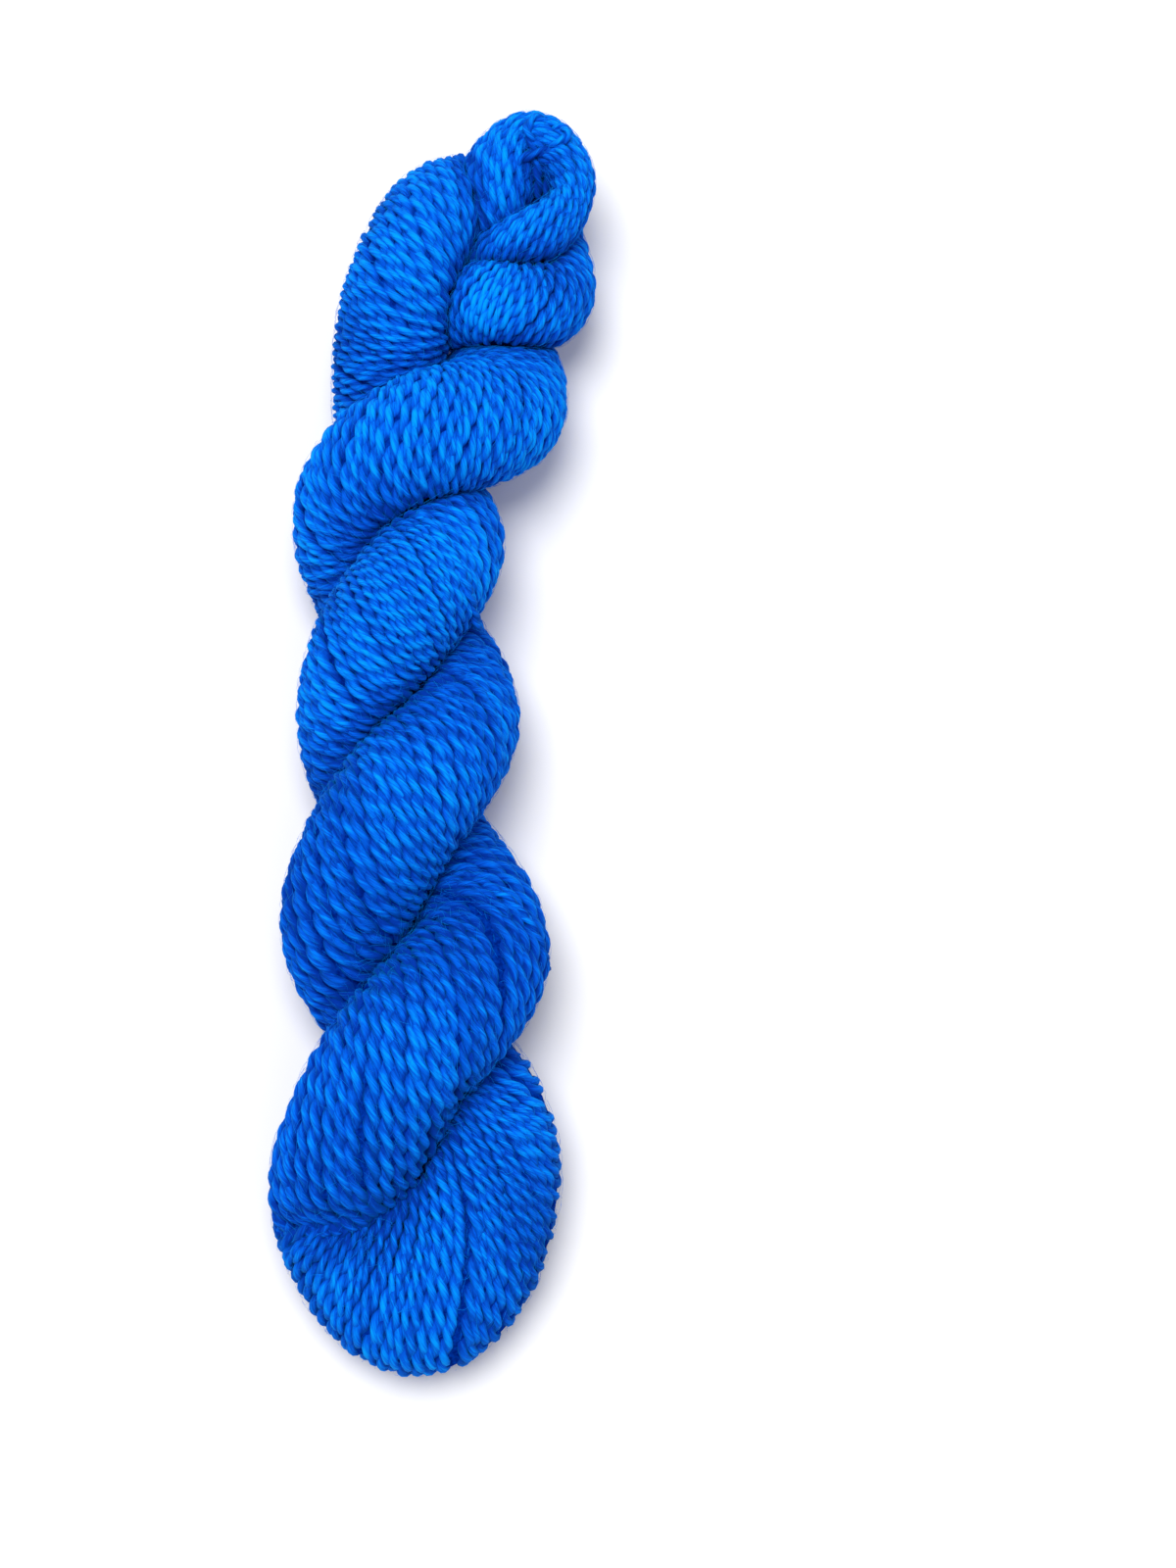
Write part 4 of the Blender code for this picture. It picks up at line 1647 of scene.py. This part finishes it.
# %% Fibres to meshes
FIBRE_SIDES = 3
FIBRE_RADIUS = 0.000027
OTHER_WAY = (0.31, 0.42, 0.85)      # a direction that hardly any fibre runs in, to find its side from


def fibre_wool():
    """Royal to azure, by the fibre's own number."""
    finish = Finish("loose_fibres", Roughness=0.8, Specular_IOR_Level=0.1)
    finish.set(Base_Color=finish.mix(finish.number("tone"), ROYAL, AZURE))
    return finish.material


def fibre_piece(name, paths, material):
    """One piece of many fibres: a ring of three points, a third of a turn apart, round each inner point of
    a path, closed to a point at both ends."""
    count, points_each = paths.shape[:2]
    way = unit(np.gradient(paths, axis=1))[:, 1:-1]
    beside = unit(np.cross(way, OTHER_WAY))
    above = np.cross(way, beside)
    turns = (0.0, math.tau / 3, -math.tau / 3)
    around = [beside * math.cos(turn) + above * math.sin(turn) for turn in turns]
    sides = np.stack([paths[:, 1:-1] + direction * FIBRE_RADIUS for direction in around], axis=2)
    rings_each = points_each - 2
    index = np.arange(count * rings_each)
    last = index % rings_each == rings_each - 1
    quads, fans = tube_faces(len(index), FIBRE_SIDES, index[~last], index[::rings_each], index[last])
    ends = np.concatenate([paths[:, 0], paths[:, -1]])
    tone = random.random(count)
    tones = np.concatenate([np.repeat(tone, rings_each * FIBRE_SIDES), tone, tone])
    points = np.concatenate([sides.reshape(-1, 3), ends])
    piece = mesh_object(name, points, quads, fans, material, {"tone": tones})
    wool_pieces.append(piece)
    print(name, 2 * len(quads) + len(fans), "triangles")


fibre_material = fibre_wool()
fibre_piece("halo_one", all_paths[::2], fibre_material)
fibre_piece("halo_two", all_paths[1::2], fibre_material)

# %% [markdown]
# ## The picture
#
# Every piece belongs to the part's one body and stands in for the plain hank. They lie on a white
# floor, which only serves the picture: a large plane just under the hank, so that the two don't share a face.

# %% The part's pieces and the floor
FLOOR_SIZE = 6.0
FLOOR_Z = -0.0002
PAPER = (0.95, 0.95, 0.95, 1.0)

for piece in wool_pieces:
    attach(piece, "root")
    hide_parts("hank")

floor_finish = Finish("pale_paper", Base_Color=PAPER, Roughness=0.9)
bpy.ops.mesh.primitive_plane_add(size=FLOOR_SIZE, location=(0.0, 0.0, FLOOR_Z))
floor = bpy.context.object
floor.name = "floor"
floor.data.materials.append(floor_finish.material)
print(len(wool_pieces), "pieces on", floor.name)

# %% [markdown]
# The camera looks down on the hank, not quite square to the floor. It could be dragged into place by hand,
# but on an arc round a target one angle and one distance set it, and the hank stays where it is in the frame
# when they change.

# %% The camera
ELEVATION = math.radians(78.0)
DISTANCE = 0.620
TARGET = np.array([0.03385, -0.0160, 0.022]) + shift       # moves with the skin
FILM_WIDTH = 36.0           # millimetres, as the focal length
FOCAL_LENGTH = 63.41

camera_data = bpy.data.cameras.new("camera")
camera_data.sensor_width = FILM_WIDTH
camera_data.lens = FOCAL_LENGTH
camera = bpy.data.objects.new("camera", camera_data)
bpy.context.scene.collection.objects.link(camera)
camera.location = TARGET + DISTANCE * np.array([0.0, -math.cos(ELEVATION), math.sin(ELEVATION)])
camera.rotation_euler = (math.pi / 2 - ELEVATION, 0.0, 0.0)
bpy.context.scene.camera = camera
print("camera at", np.array(camera.location).round(3))

# %% [markdown]
# The light is a bright, soft one from almost overhead, as under a window in the roof, a faint one from the
# lower right, and a pale sky all round, which fills the shadows. Sharper lamps would draw every ply with a
# black line.

# %% Light
SKY_STRENGTH = 0.42


def soft_light(name, place, size, power):
    """A round area light that shines on the origin: tilted from straight down, then turned towards it."""
    data = bpy.data.lights.new(name, "AREA")
    data.shape = "DISK"
    data.size = size
    data.energy = power
    lamp = bpy.data.objects.new(name, data)
    bpy.context.scene.collection.objects.link(lamp)
    lamp.location = place
    toward = -np.array(place)
    lamp.rotation_euler = (
        math.atan2(math.hypot(toward[0], toward[1]), -toward[2]),
        0.0,
        math.atan2(toward[1], toward[0]) - math.pi / 2,
    )
    print(name, power, "W")


soft_light("key_light", place=(-0.2, 0.3, 2.1), size=1.3, power=38.0)
soft_light("fill_light", place=(0.8, -0.6, 1.8), size=1.4, power=3.0)
world = bpy.data.worlds.new("sky")
world.use_nodes = True
background = world.node_tree.nodes["Background"]
background.inputs["Color"].default_value = (1.0, 1.0, 1.0, 1.0)
background.inputs["Strength"].default_value = SKY_STRENGTH
bpy.context.scene.world = world
bpy.context.scene.view_settings.view_transform = "Standard"

# %% [markdown]
